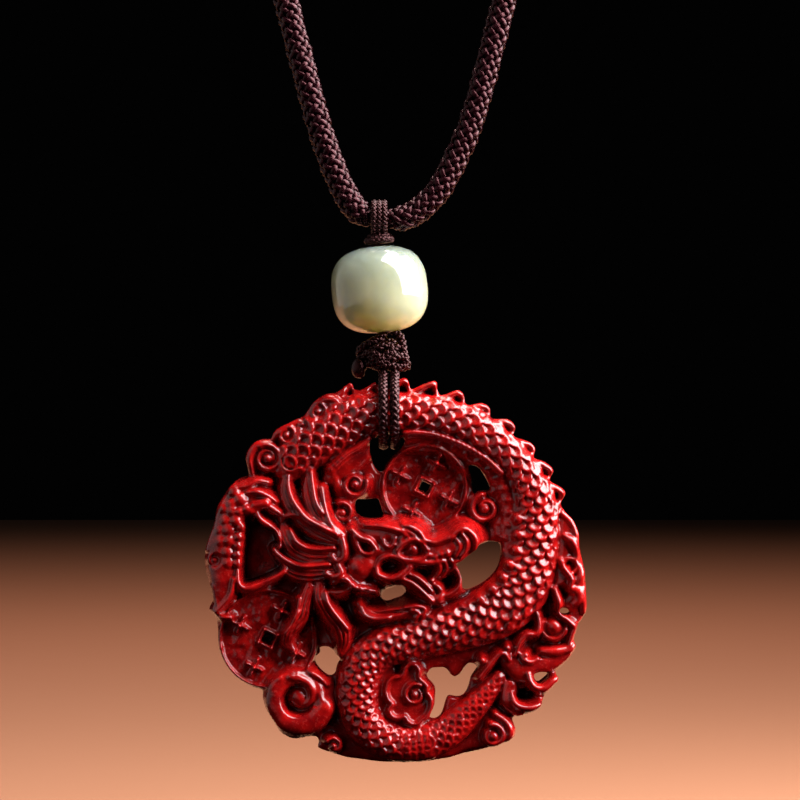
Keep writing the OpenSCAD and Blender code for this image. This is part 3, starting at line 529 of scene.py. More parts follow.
def coin(carving, x, y, r, rise, angle):
    corners = [(x + r * math.cos(k * math.pi / 30), y + r * math.sin(k * math.pi / 30))
               for k in range(60)]
    carving.plate(corners, level(rise), COIN_EDGE)
    rim = winding(x, y, r - COIN_RIM, 360, 0, 1, COIN_RIM, 1, end=1.0, parts=60)
    carving.lift([(a, b, COIN_RIM, 1) for a, b, width, strength in rim], COIN_LIFT, 1)
    corners = square(x, y, COIN_SQUARE, angle)
    for a, b in zip(corners, corners[1:] + corners[:1]):
        carving.lift([(*a, COIN_LINE, 1), (*b, COIN_LINE, 1)], COIN_LIFT, 1)
    for side in range(4):
        way = math.radians(angle + 90 * side)
        star(carving, x + r * STAR_PLACE * math.cos(way), y + r * STAR_PLACE * math.sin(way), way)


def star(carving, x, y, way):
    """Plain four-pointed star beside the coin's square."""
    for ray in range(4):
        turn = way + ray * math.pi / 2
        tip_x = x + STAR_REACH * math.cos(turn)
        tip_y = y + STAR_REACH * math.sin(turn)
        carving.lift([(x, y, 2.6, 0.6), (tip_x, tip_y, 1.8, 1)], STAR_LIFT, 1)


def mane(carving):
    for row in LOCKS:
        carving.strand(row, 6, fullness=0.8, flutes=3, flute=0.5)
    for row in CRESTS:
        carving.strand(row, 6, fullness=1.1)
    # Root curls behind the cheek
    carving.strand([(-54, 31, 2.6, 0.88), (-52, 21, 3, 0.9), (-53, 13, 2.8, 0.88),
                    (-60, 9.5, 2.4, 0.84), (-64, 14, 2, 0.82)])
    carving.strand([(-57.8, 5, 2.6, 0.86), (-55, -2, 3, 0.88), (-62, -6.5, 2.6, 0.84),
                    (-70, -3, 2, 0.8)])


# Outline of the head's bulk, without the jaw
SKULL = [
    (-46, 40), (-38, 45), (-24, 49), (-8, 49.5), (6, 47), (17, 44), (26, 38), (33, 31), (45, 32),
    (56, 38), (65, 42), (74, 38), (79, 29), (77, 18), (70, 11), (60, 8), (46, 7), (30, 8),
    (14, 8), (4, 2), (-6, -6), (-20, -10), (-36, -14), (-46, -6), (-50, 10), (-49, 28),
]
JAW_HINGE = [(-17, 3), (-14, 9), (-7, 12), (1, 10), (6, 6), (4, 1), (-3, -2), (-12, -2)]
MOUTH = [(13, 4), (17, 7), (27, 6), (36, 5), (38, -2), (35, -7), (28, -6), (20, -3), (14, 0)]
THROAT = [(42, 0), (48, 3), (56, 1), (58, -7), (54, -14), (47, -17), (41, -12), (40, -5)]
EYE_SOCKET = [(2, 18), (7, 25), (16, 28.5), (24, 27), (29, 21), (22, 15), (11, 13.5)]
# Hollows of the head and the rise of their floors
HEAD_HOLLOWS = [(JAW_HINGE, 0.34), (MOUTH, 0.16), (THROAT, 0.16), (EYE_SOCKET, 0.78)]
# Bulk of the head, then its ridges
HEAD_BULK = [
    # Skull, cheek and snout
    [(-36, 30, 12, 0.74), (-18, 36, 13, 0.82), (4, 35, 11.5, 0.9), (19, 32, 9, 0.93)],
    [(-36, 4, 14, 0.84), (-32, 8, 14, 0.84)],
    [(-30, 16, 11, 0.78), (-12, 20, 10, 0.83), (4, 20, 10, 0.86)],
    [(26, 20, 9, 0.88), (42, 20, 10.5, 0.94), (57, 24, 12, 0.98), (67, 28, 11, 1.0)],
    # Jaw, chin and beard
    [(-8, -9, 5, 0.68), (8, -9, 6, 0.72), (21, -15, 7.5, 0.72), (33, -25, 7.5, 0.68),
     (40, -29, 5, 0.62)],
    [(-38, -33, 3, 0.54), (-33, -42, 4.5, 0.6), (-20, -46, 5.5, 0.64), (-4, -44, 6, 0.64),
     (12, -42, 6.5, 0.64), (25, -41, 4.5, 0.6)],
    [(-46, -8, 6, 0.68), (-34, -16, 7, 0.66), (-24, -17, 5, 0.62)],
]
HEAD_RIDGES = [
    # Brow, with hair curls over and under it
    [(-32, 45, 2.2, 0.84), (-13, 43.5, 2.5, 0.93), (3, 39.5, 2.8, 1.0), (11, 34, 2.2, 1.0)],
    [(6, 45, 1.9, 0.95), (14, 43, 2.5, 1.02), (22, 38.5, 2.7, 1.05), (27, 31, 2.4, 1.02)],
    [(5, 41, 1.6, 0.97), (12, 38.5, 1.9, 1.01), (18, 34, 1.9, 1.02), (21, 30, 1.6, 1.0)],
    [(-14, 31, 1.5, 0.88), (-12, 26, 1.8, 0.92), (-7, 23.5, 1.9, 0.93), (-3, 27, 1.8, 0.95),
     (-2, 33, 1.5, 0.95)],
    [(-3, 26, 1.5, 0.92), (2, 25, 1.7, 0.94), (4, 30, 1.8, 0.97), (7, 35, 1.5, 0.98)],
    # Ear
    [(-45, 41, 1.8, 0.84), (-36, 32.5, 2.5, 0.92), (-27, 29.5, 2.6, 0.96),
     (-20, 21, 2, 0.92)],
    [(-42, 34, 1.8, 0.86), (-37, 22, 2.2, 0.9), (-28, 16.5, 2.2, 0.9), (-21, 20, 1.8, 0.9)],
    # Lids of the eye
    [(0, 20, 1.6, 0.95), (7, 27.5, 2, 1.01), (16, 31, 2.2, 1.04), (25, 28, 2, 1.02),
     (30, 21, 1.6, 0.98)],
    [(0, 17, 1.6, 0.9), (6, 12, 2.3, 0.96), (16, 10.5, 2.5, 0.98), (25, 12, 2.3, 0.98),
     (31, 16, 1.8, 0.97)],
    # Bridge of the nose and the curl at its end
    [(28, 30, 2.2, 1.0), (37, 28, 2.8, 1.03), (46, 30.5, 3, 1.05), (55, 34, 2.6, 1.06)],
    [(53, 32, 2.2, 1.04), (61, 40, 2.8, 1.08), (69, 41, 3, 1.09), (76, 34.5, 3, 1.07),
     (78.5, 26, 3, 1.02), (75.5, 17, 2.8, 0.96), (68, 11.5, 2.8, 0.92), (58, 9, 2.5, 0.9)],
    [(64, 37, 1.6, 1.07), (69, 30, 2, 1.07), (68, 21, 2, 1.02), (63, 14, 1.8, 0.96)],
    [(59, 31, 1.6, 1.05), (62, 24, 1.9, 1.03), (58, 15, 1.8, 0.97)],
    # Upper lip and the fangs under it
    [(1, 13, 1.8, 0.9), (8, 9.5, 2.4, 0.94), (22, 8, 2.8, 0.97), (34, 8.5, 2.8, 0.98),
     (44, 10, 2.4, 0.97)],
    [(40, 9, 2.2, 0.95), (42.5, 3, 2.4, 0.9), (40, -3, 1.9, 0.82), (36, -7, 1.1, 0.74)],
    [(47, 10, 2.2, 0.93), (49, 3, 2.2, 0.87), (46, -3, 1.7, 0.8), (43, -6, 1, 0.72)],
    [(53, 11, 2.2, 0.93), (56, 5, 2.2, 0.86), (52, 0, 1.5, 0.78)],
    # Rim of the hollow at the hinge of the jaw
    [(-20, 3, 1.8, 0.86), (-18, -4, 2.4, 0.89), (-9, -8, 2.7, 0.91), (1, -6, 2.9, 0.93),
     (8, -1, 3, 0.95), (13, 4, 2.8, 0.97)],
    [(-20, 4, 1.5, 0.85), (-16, 11, 1.9, 0.88), (-7, 14.5, 2, 0.9), (3, 12, 2, 0.91),
     (9, 7, 2, 0.94)],
    # Twin ridges of the jaw, and the chin's tuft
    [(4, -8, 1.7, 0.82), (15, -12, 2, 0.86), (24, -19.5, 2.1, 0.85), (35, -30, 1.9, 0.78)],
    [(11, -3, 1.7, 0.86), (20, -6.5, 2, 0.88), (28, -13, 2, 0.86), (35, -21, 1.8, 0.8)],
    [(35, -14, 1.5, 0.72), (39.5, -15, 2, 0.77), (43.5, -20, 2.1, 0.76),
     (43, -26, 1.9, 0.72)],
    [(55, 5, 1.8, 0.76), (62, -1, 2.5, 0.78), (64.5, -8, 2.8, 0.78), (61.5, -17, 2.8, 0.76),
     (54, -23, 2.7, 0.72), (44, -26, 2.3, 0.68)],
    # Beard
    [(-36, -36, 1.5, 0.62), (-31, -45, 1.9, 0.69), (-21, -48.5, 2, 0.7), (-8, -47, 1.8, 0.7)],
    [(8, -37, 1.5, 0.7), (19, -35.5, 1.8, 0.74), (27.5, -38, 2, 0.74), (25, -45, 1.7, 0.7)],
    [(6, -41, 1.4, 0.71), (16, -39.5, 1.7, 0.74), (22, -42.5, 1.7, 0.73),
     (18, -47.5, 1.4, 0.7)],
    # Spur behind the cheek, and the leaf under it
    [(-63, -12, 1.7, 0.78), (-51, -7.5, 2.4, 0.86), (-46, -13, 2.3, 0.86),
     (-39, -17.5, 2.2, 0.84), (-30, -18.5, 2, 0.81), (-22, -20.5, 1.5, 0.75)],
    [(-67, -21, 1.4, 0.62), (-57, -22.5, 4.2, 0.72), (-46, -18, 2, 0.76)],
]
# Round forms on the head: x, y, radius and rise
HEAD_BOSSES = [
    # Eyeball, folds of the snout and beads of the spur
    (16, 21.5, 5.5, 0.99), (33, 15, 3.3, 0.97), (38.5, 13.5, 3.2, 1.0), (44, 16, 3.3, 1.02),
    (49.5, 17.5, 3.6, 1.04), (34.5, -10, 2.6, 0.82), (41, -27.5, 5.5, 0.74),
    (-51, -8.5, 2.6, 0.9), (-44, -14.5, 2.5, 0.9), (-36, -18, 2.3, 0.87),
    (-27, -19.5, 2, 0.83),
]
BEARD_GROOVE = [(-30, -40, 1.6, 0.4), (-18, -43, 2.2, 1), (-2, -41.5, 2.4, 1), (12, -40, 1.8, 0.5)]


def head(carving):
    carving.plate(smooth(SKULL, 3, closed=True), level(0.6), 1.8)
    carving.strands(HEAD_BULK, 0.85)
    for corners, rise in HEAD_HOLLOWS:
        carving.sink(corners, level(rise), 0.35)
    carving.strands(HEAD_RIDGES, 1.1)
    carving.bosses(HEAD_BOSSES)
    carving.dish(-31, 22.5, 5.5, 0.9)
    carving.lift(BEARD_GROOVE, -0.8)


# Foreleg from the shoulder down the left side, then what lies on it
LEG = [
    (-132, 70, 9, 0.5), (-150, 70, 14, 0.56), (-163, 55, 15, 0.58), (-170, 32, 15, 0.58),
    (-173, 8, 15, 0.56), (-173, -14, 12, 0.52), (-174, -30, 8, 0.46), (-180, -40, 4, 0.4),
]
# Scales on the arm: x, y, radius and rise
ARM_SCALES = [
    (-162, 78, 5, 0.6), (-155, 70, 5.4, 0.66), (-164, 66, 4.5, 0.62), (-163, 58, 5, 0.66),
    (-172, 60, 4.2, 0.56), (-160, 49, 5, 0.68), (-170, 50, 4.6, 0.62), (-167, 40, 5.2, 0.66),
    (-176, 40, 4.2, 0.56), (-166, 29, 5, 0.66), (-175, 29, 4.4, 0.58), (-168, 18, 4.8, 0.64),
    (-167, 7.5, 4.8, 0.62), (-156, 58, 3.6, 0.68), (-155, 43, 4, 0.68), (-157.5, 33, 3.8, 0.67),
    (-158.5, 24, 4, 0.66), (-159, 15, 3.6, 0.65), (-158.5, 7, 3.8, 0.64),
]
LEG_RIDGES = [
    # Rim along the outer side, and hair on the upper arm
    [(-147, 90, 2.2, 0.34), (-157, 82.5, 3, 0.42), (-170, 69, 3.4, 0.46), (-178, 52, 3.4, 0.46),
     (-184, 35, 3.4, 0.44), (-188, 20, 2.6, 0.4)],
    [(-160, 82, 1.7, 0.54), (-148, 84, 2.2, 0.6), (-139, 88.5, 2, 0.58), (-128, 87, 1.8, 0.52)],
    [(-148, 77, 2, 0.64), (-138, 77.5, 2.8, 0.7), (-127, 73, 2.4, 0.66), (-120, 68, 1.8, 0.6)],
    # Knuckles
    [(-141, 64.5, 4.4, 0.74), (-130, 66.5, 4.6, 0.76)],
    [(-149, 61, 4.2, 0.72), (-145, 60, 4.2, 0.72)],
    [(-125, 62, 3.6, 0.68), (-117, 56.5, 3, 0.64)],
    # Sinews round the hollow, down to the paw
    [(-141, 62, 2.6, 0.62), (-136.5, 51, 3.5, 0.66), (-126, 42.5, 3.8, 0.64),
     (-120, 34, 3.6, 0.62), (-117, 24, 2.6, 0.56)],
    [(-158, -1, 1.8, 0.58), (-157.5, -12, 2.8, 0.62), (-149, -18.5, 3.3, 0.62),
     (-130, -11, 3.5, 0.62), (-112, -1, 2.8, 0.6)],
    [(-137, 26, 1.8, 0.3), (-127, 21, 4, 0.44), (-118, 10, 5, 0.52), (-111, 3, 2.6, 0.56)],
    [(-162, -9, 1.8, 0.62), (-166, -26, 2, 0.6), (-180, -42, 1.7, 0.5)],
    [(-183, -16, 1.8, 0.46), (-181, -28, 2, 0.46), (-177, -37, 1.6, 0.44)],
    [(-175, -47, 1.7, 0.4), (-165, -47, 1.7, 0.4)],
]


def foreleg(carving):
    carving.strand(LEG, 6, fullness=0.7)
    carving.bosses([(x, y, r * 1.2, rise) for x, y, r, rise in ARM_SCALES], 0.75)
    carving.strands(LEG_RIDGES, 1.0)
    carving.spiral(-181.5, 10, 8, 0.5, 330, 60, 1, 0.36)


# Swells round the outer clouds
SWELLS = [
    [(-145, 97, 2.6, 0.34), (-147, 111, 3.6, 0.4), (-141, 123, 3.6, 0.4),
     (-129, 127, 2.6, 0.36)],
    [(-124, 131, 2.4, 0.34), (-118, 138.5, 3.2, 0.4), (-107, 143.5, 3, 0.4),
     (-98, 148, 2.2, 0.36)],
    [(-90, 153, 2.2, 0.36), (-84, 163, 3.2, 0.42), (-73, 169.5, 3.4, 0.46),
     (-62, 169, 3.4, 0.5), (-54, 160, 2.2, 0.5)],
    [(-64, 96, 3, 0.34), (-54, 76, 5, 0.3), (-36, 66, 4, 0.26)],
]


def clouds(carving):
    for row in CURLS:
        carving.spiral(*row)
    carving.strands(SWELLS, 0.8)


# Large scroll at the lower left: middle, its end that curls in to the knob, and folds beside it
SCROLL = (-98, -129)
SCROLL_END = [
    (-106, -107, 3, 0.52), (-97, -107.5, 3.6, 0.56), (-88.5, -112, 4, 0.56), (-84.5, -120, 4, 0.54),
    (-85.5, -128, 3.8, 0.5), (-90, -133, 3.2, 0.46), (-96, -135, 2.4, 0.4),
]
SCROLL_FOLDS = [
    [(-126, -123, 2, 0.42), (-123, -115, 4, 0.5), (-116, -108, 3, 0.5)],
    [(-78, -122, 2, 0.46), (-75, -134, 3.4, 0.5), (-79, -147, 2, 0.46)],
]
SCROLL_LEAF = [
    (-89, -100, 1.6, 0.42), (-84, -103, 2.2, 0.5), (-77, -107, 2.3, 0.5), (-70, -114, 1.8, 0.42),
]


def great_scroll(carving):
    x, y = SCROLL
    carving.boss(x, y, 40, 0.38, 0.42)
    carving.strand(winding(x, y, 25.5, 350, -20, -1, 11, 0.54, end=0.8), 1, fullness=0.62)
    carving.dish(x - 1, y - 1, 17, 2.2)
    carving.boss(x + 1, y + 2, 10, 0.46, 0.9)
    carving.strand(SCROLL_END, 6, 0.95)
    carving.strands(SCROLL_FOLDS, 0.7)
    carving.strand(SCROLL_LEAF, 6, 1.0)


# Cloud flower in the bend of the tail: its edge, and a bed on the side of the body
FLOWER = [
    (13, -92), (8, -95.5), (7, -100), (3, -105), (-4, -106), (-9.5, -110), (-12, -117), (-12, -124),
    (-9.5, -130), (-5.5, -134), (-9, -139), (-8, -144), (-4, -148), (2, -149), (7.5, -147.5),
    (10.5, -152), (16, -155.5), (21.5, -155), (26, -150.5), (31, -147), (34.5, -141), (36, -133),
    (34.5, -126), (31, -122), (31, -115), (26.5, -110), (23, -107), (23, -99), (19.5, -93),
]
FLOWER_BED = [
    (-6, -101, 5, 0.2), (-15, -112, 5, 0.26), (-17, -124, 5, 0.26), (-14, -137, 5, 0.26),
    (-6, -149, 5, 0.24), (8, -156, 4, 0.2),
]


def cloud_flower(carving):
    carving.strand(FLOWER_BED, 4, fullness=0.5)
    edge = smooth(FLOWER, 3, closed=True)
    carving.plate(edge, level(0.26), 0.6)
    middle = edge.mean(0)
    rim = edge + (middle - edge) * 0.06
    rows = [(x, y, 1.6, 0.42) for x, y in np.vstack([rim, rim[:1]])]
    carving.strand(rows, 1)
    carving.spiral(*CURLS[-1])


# Fins, curls and prongs along the right edge: broad beds, then dishes, ridges and round forms
FIN_BEDS = [
    [(168, 57, 5, 0.26), (175, 47, 6, 0.3), (178, 30, 8, 0.3), (175, 5, 12, 0.26),
     (176, -25, 12, 0.26), (176, -48, 11, 0.22)],
    [(167, 48, 6, 0.3), (168, 30, 8, 0.34), (167, 8, 8, 0.36), (166, -15, 9, 0.36)],
    [(112, -90, 9, 0.4), (125, -99, 13, 0.44), (140, -96, 9, 0.44), (156, -92, 6, 0.42),
     (168, -84, 5, 0.4)],
    [(112, -116, 7, 0.34), (112, -131, 8, 0.36), (122, -141, 5, 0.32)],
]
FIN_DISHES = [(172, 4, 8, 1.3), (164.5, -22, 8, 1.1), (154, -57, 14, 1.2), (119, -72, 6, 0.8)]
FIN_RIDGES = [
    # Rim, flame and ring below the last spine
    [(166, 58, 2.2, 0.36), (175.5, 48, 3.2, 0.42), (180, 33, 3.4, 0.42), (182, 20, 2.6, 0.38)],
    [(167, 34, 1.8, 0.44), (174.5, 28.5, 3.6, 0.52), (179, 20, 2.8, 0.48),
     (179, 12, 1.8, 0.42)],
    [(162.7, 10, 1.7, 0.48), (166.4, 2, 2, 0.5), (171, -4, 2.2, 0.52), (174, -9.5, 2.2, 0.52),
     (172.7, -16, 1.9, 0.48)],
    [(182.5, 4, 3, 0.4), (184, -5, 4.6, 0.46), (181, -13, 3.6, 0.42)],
    [(173, -19, 3, 0.46), (180, -21, 5.4, 0.48), (181, -29, 5, 0.44), (176, -34, 3, 0.4)],
    [(186, -14, 2.4, 0.36), (187, -27, 3, 0.4), (186.5, -42, 2.6, 0.34)],
    # Leaves and curls below the shoulder
    [(157, -19, 1.8, 0.5), (161, -31, 2.2, 0.53), (162, -42, 2.2, 0.52), (169, -49.5, 2.4, 0.5),
     (177, -57, 2.4, 0.46), (175, -63, 2.2, 0.44), (171.5, -73, 1.8, 0.42)],
    [(117.5, -85, 1.6, 0.48), (122, -72, 2.2, 0.54), (129, -64.5, 2.4, 0.55),
     (139, -63.5, 2.2, 0.54), (141.5, -55, 2, 0.52), (140, -44, 1.8, 0.5)],
    [(122, -83, 1.7, 0.48), (127, -89.5, 2.3, 0.54), (134, -91.5, 2.3, 0.54),
     (140, -88.5, 1.7, 0.5)],
    [(144, -81, 2.4, 0.44), (155, -82, 5, 0.48), (166, -80, 4.4, 0.46), (174, -76, 2, 0.42)],
    [(166, -82, 1.4, 0.44), (172, -80, 1.9, 0.5), (177, -74, 1.6, 0.46)],
    winding(156, -57, 12, 200, -10, -1, 2.2, 0.44, end=0.95),
    # Prongs
    [(130.5, -103, 1.7, 0.5), (132.5, -110, 2.5, 0.53), (137, -116, 3, 0.54),
     (145, -118, 3.4, 0.52), (153, -113, 3.4, 0.48), (160, -107.5, 2.4, 0.42)],
    [(114, -123, 1.7, 0.44), (116.5, -131, 2.5, 0.48), (122, -136, 3, 0.5),
     (132, -137.5, 3, 0.48), (142, -135, 2.4, 0.42)],
    [(82, -108, 1.5, 0.42), (91, -96, 1.9, 0.5), (100, -85, 2.2, 0.53), (107, -83, 2.2, 0.53),
     (111, -89, 1.8, 0.48)],
    # Double swirl at the bottom
    [(98, -143.5, 2, 0.36), (108, -151, 3.2, 0.42), (113, -160, 3.6, 0.42),
     (110, -171, 2.4, 0.34)],
    winding(96, -165, 11, 330, 100, -1, 2.8, 0.44, end=0.6),
]
FIN_BOSSES = [
    (170.5, 2, 2.4, 0.4), (156.7, -56.7, 7.5, 0.5), (110, -77.5, 3.2, 0.54), (85, -90, 3.2, 0.52),
    (128, -84.5, 2.8, 0.54), (96, -165.5, 4.5, 0.46),
]


def fins(carving):
    carving.strands(FIN_BEDS, 0.5)
    for x, y, r, depth in FIN_DISHES:
        carving.dish(x, y, r, depth)
    carving.strands(FIN_RIDGES, 0.95, 5)
    carving.strand(winding(172, 4, 7.5, 350, 150, -1, 1.9, 0.46, end=0.95), 1)
    carving.bosses(FIN_BOSSES)


# Inner side of the body: folds by the mane, slopes inside the arc, ribs down them, the lines of
# beads along the edge of the scales, and plates down the shoulder
BELLY_FOLD = [
    (-66, 92, 8, 0.3), (-50, 104, 11, 0.38), (-34, 115, 9, 0.38), (-26, 124, 6, 0.36),
]
BELLY_SLOPES = [
    [(8, 124, 7, 0.22), (40, 123, 9, 0.26), (64, 111, 11, 0.28), (84, 97, 13, 0.28),
     (98, 79, 14, 0.26), (104, 60, 13, 0.26), (104, 40, 12, 0.26), (101, 20, 10, 0.26),
     (96, 2, 8, 0.24)],
    [(8, 131, 6, 0.4), (40, 130, 8, 0.44), (66, 121, 10, 0.48), (88, 107, 11, 0.48),
     (105, 90, 11, 0.46), (113, 66, 11, 0.44), (114, 42, 11, 0.44), (110, 22, 10, 0.44),
     (103, 4, 9, 0.42)],
]
RIBS = [
    (44, 127), (57, 123), (69, 116), (80, 108), (89, 99), (97, 90), (103, 80), (107, 69),
    (109, 57), (109, 45), (107, 32), (104, 19),
]
RIB_LIFT = 0.2
RIB_REACH = 9
UPPER_BEADS = [(-66, 101), (-50, 115), (-38, 122), (-28, 130)]
INNER_BEADS = [(8, 136), (20, 137), (40, 134), (65, 125), (90, 110), (104, 97)]
SHOULDER_PLATES = [
    (120, 51), (120, 34.5), (118, 20), (112, 5.5), (105.5, -7.3), (95, -19), (83, -29.5),
]


def belly(carving):
    carving.strand(BELLY_FOLD, 6, 1.0)
    carving.strands(BELLY_SLOPES, 0.9)
    for x, y in RIBS:
        inward = Vector((x - COIN_TOP[0], y - COIN_TOP[1] + 20)).normalized() * RIB_REACH
        carving.lift([(x + inward.x, y + inward.y, 3, 0.5), (x, y, 3.4, 1),
                      (x - inward.x, y - inward.y, 3, 0.5)], RIB_LIFT)
    for line in (smooth(UPPER_BEADS, 4), smooth(INNER_BEADS, 5)):
        carving.strand([(x, y, 1.8, 0.6) for x, y in line], 1)
        carving.bosses([(x, y, 2.6, 0.63) for x, y in line], 0.8)
    carving.bosses([(x, y, 4.6, 0.72) for x, y in SHOULDER_PLATES], 0.6)


def unevenness(shape, spread):
    """Seeded soft noise with a mean of 0 and a spread of 1."""
    noise = blurred(np.random.default_rng(11).standard_normal(shape), spread)
    return noise / noise.std()


# Heights of the marks of the hand that carved it and of the coins' grain, rounding of the outer
# edge and of the gaps' edges, and floor of the lower coin's square, all in mm
HAND_MARKS = 0.035
COIN_GRAIN = 0.035
EDGE_ROUNDING = 0.7
GAP_ROUNDING = 0.45
SQUARE_FLOOR = 1.6
# How wide those marks and that grain are, and how much the whole front is softened, in grid cells
HAND_SPREAD = 3.2
GRAIN_SPREAD = 1.3
SOFTENING = 0.55
# A recess lies lower than its surroundings, blurred over so many grid cells; its painted shade
# starts to show at the first depth and is full at that and the second, in mm
RECESS_SPREAD = 5.0
RECESS_START = 0.2
RECESS_RANGE = 1.2


def rounded_edge(carving, inside, rounding):
    """Rounds the front's edge; inside is the distance to the edge, below zero on the disc."""
    depth = np.clip(1 + inside / (rounding / STEP_MM), 0, 1)
    carving.height -= rounding * (1 - dome(depth))


def carve():
    """Carves the front, and returns the field, its height, the edge distance and the recesses,
    where the material paints shade.
    """
    carving = Carving()
    belly(carving)
    body(carving, BODY)
    body(carving, TAIL)
    spines(carving)
    coin(carving, *COIN_TOP)
    coin(carving, *COIN_LOW)
    clouds(carving)
    great_scroll(carving)
    cloud_flower(carving)
    fins(carving)
    foreleg(carving)
    mane(carving)
    head(carving)
    for row in HOLLOWS:
        carving.sink(row, HOLLOW_FLOOR)
    blind = square(COIN_LOW[0], COIN_LOW[1], COIN_HOLE, COIN_LOW[4])
    carving.sink(blind, SQUARE_FLOOR, 0.2)
    carving.height += HAND_MARKS * unevenness(carving.height.shape, HAND_SPREAD)
    grain = COIN_GRAIN * unevenness(carving.height.shape, GRAIN_SPREAD)
    for x, y, r, rise, angle in (COIN_TOP, COIN_LOW):
        carving.height += grain * (np.hypot(carving.x - x, carving.y - y) < r)

    outer = [point for row in SPINES for point in row] + RIGHT_EDGE + LOWER_EDGE + LEFT_EDGE
    edge = from_outline(smooth(outer, 2, closed=True), carving.x, carving.y)
    rounded_edge(carving, edge, EDGE_ROUNDING)
    holes = [smooth(row, 3, closed=True) for row in GAPS]
    holes.append(np.array(square(COIN_TOP[0], COIN_TOP[1], COIN_HOLE, COIN_TOP[4])))
    for hole in holes:
        inside = -from_outline(hole, carving.x, carving.y)
        rounded_edge(carving, inside, GAP_ROUNDING)
        edge = np.maximum(edge, inside)
    soft = blurred(carving.height, SOFTENING)
    depth = blurred(soft, RECESS_SPREAD) - soft
    recess = np.clip((depth - RECESS_START) / RECESS_RANGE, 0, 1)
    return carving, soft, edge, recess


# Meshes

def new_piece(name, mesh, material, body_name, node):
    """Puts a mesh in the scene as a piece that rides on a body and stands for a CAD node."""
    piece = bpy.data.objects.new(name, mesh)
    bpy.context.scene.collection.objects.link(piece)
    mesh.materials.append(material)
    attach(piece, body_name)
    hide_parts(node)


def shade_smooth(mesh):
    mesh.polygons.foreach_set("use_smooth", np.ones(len(mesh.polygons), bool))


def turn_outward(mesh):
    """Turns every face of a closed mesh outward."""
    tidy = bmesh.new()
    tidy.from_mesh(mesh)
    bmesh.ops.recalc_face_normals(tidy, faces=tidy.faces)
    tidy.to_mesh(mesh)
    tidy.free()


def unit(rows):
    return rows / np.linalg.norm(rows, axis=1)[:, None]


# Share of a grid cell within which a point moves onto the edge
CLOSE = 0.4


def front_faces(edge, grad_x, grad_y, carving, height, recess):
    """Cuts the grid along the edge. Returns vertices (x, y, height, recess) and faces."""
    rows, columns = edge.shape
    # Grid points close to the edge move onto it
    close = np.abs(edge) < CLOSE * GRID
    x = np.where(close, carving.x - edge * grad_x, carving.x)
    y = np.where(close, carving.y - edge * grad_y, carving.y)
    edge = np.where(close, 0.0, edge)
    values = np.stack([x, y, height, recess], axis=-1).reshape(-1, 4)
    flat = edge.reshape(-1)
    index = np.arange(rows * columns).reshape(rows, columns)
    cells = np.stack([index[:-1, :-1], index[:-1, 1:], index[1:, 1:], index[1:, :-1]], axis=-1)
    cells = cells.reshape(-1, 4)
    kept = (flat[cells] <= 0).sum(axis=1)
    faces = [tuple(cell) for cell in cells[kept == 4].tolist()]
    extra = []
    made = {}
    for cell in cells[(kept > 0) & (kept < 4)].tolist():
        face = []
        for a, b in zip(cell, cell[1:] + cell[:1]):
            if flat[a] <= 0:
                face.append(a)
            if flat[a] * flat[b] < 0:
                key = (min(a, b), max(a, b))
                if key not in made:
                    t = flat[key[0]] / (flat[key[0]] - flat[key[1]])
                    extra.append(values[key[0]] * (1 - t) + values[key[1]] * t)
                    made[key] = rows * columns + len(extra) - 1
                face.append(made[key])
        if len(face) > 2:
            faces.append(tuple(face))
    used = sorted({v for face in faces for v in face})
    number = {v: i for i, v in enumerate(used)}
    values = np.vstack([values, np.array(extra)])[used]
    return values, [tuple(number[v] for v in face) for face in faces]


def open_edges(faces):
    """Edges that only one face uses, each in that face's direction."""
    seen = {}
    for face in faces:
        for a, b in zip(face, face[1:] + face[:1]):
            if seen.pop((b, a), None) is None:
                seen[(a, b)] = True
    return list(seen)


def within(starts, ends, spots):
    """Which spots lie inside closed lines that are given by their pieces' ends."""
    x, y = spots.T
    inside = np.zeros(len(spots), bool)
    for a, b in zip(starts, ends):
        if a[1] != b[1]:
            near = np.nonzero((a[1] > y) != (b[1] > y))[0]
            inside[near] ^= x[near] < a[0] + (y[near] - a[1]) * (b[0] - a[0]) / (b[1] - a[1])
    return inside


# Rounding of the back's edge in mm, and spacing of the back's inner points in grid cells, with
# their least distance to the edge in steps
BACK_ROUNDING = 0.35
BACK_GRID = 7
BACK_MARGIN = 6


def outward_ways(values, ring, following, place):
    """Outward directions along the border, from the way from the point before to the next."""
    ahead = np.array([values[following[v], :2] for v in ring])
    here = values[ring, :2]
    before = np.zeros_like(here)
    for i, v in enumerate(ring):
        before[place[following[v]]] = here[i]
    way = ahead - before
    outward = np.stack([way[:, 1], -way[:, 0]], axis=1)
    return outward / np.maximum(np.hypot(*outward.T)[:, None], 1e-6)


def wall(values, ring, loops, outward):
    """Rings of points down the wall and their faces; the last ring lies on the back."""
    here = values[ring, :2]
    top = values[ring, 2]
    corner = BACK_ROUNDING * (1 - math.sqrt(0.5))
    # Share of the way down, then how far in and how far over the back, in mm
    profile = [(0.5, 0.0, BACK_ROUNDING), (1.0, 0.0, BACK_ROUNDING), (1.0, corner, corner),
               (1.0, BACK_ROUNDING, 0.0)]
    rings = []
    faces = []
    last = np.array(ring)
    for k, (share, inset, z) in enumerate(profile):
        low = top * (1 - share) + z * share
        rings.append(np.column_stack([here - outward * inset / STEP_MM, low, np.zeros(len(ring))]))
        new = len(values) + k * len(ring) + np.arange(len(ring))
        faces += [(int(last[b]), int(last[a]), int(new[a]), int(new[b])) for a, b in loops]
        last = new
    return rings, faces, last


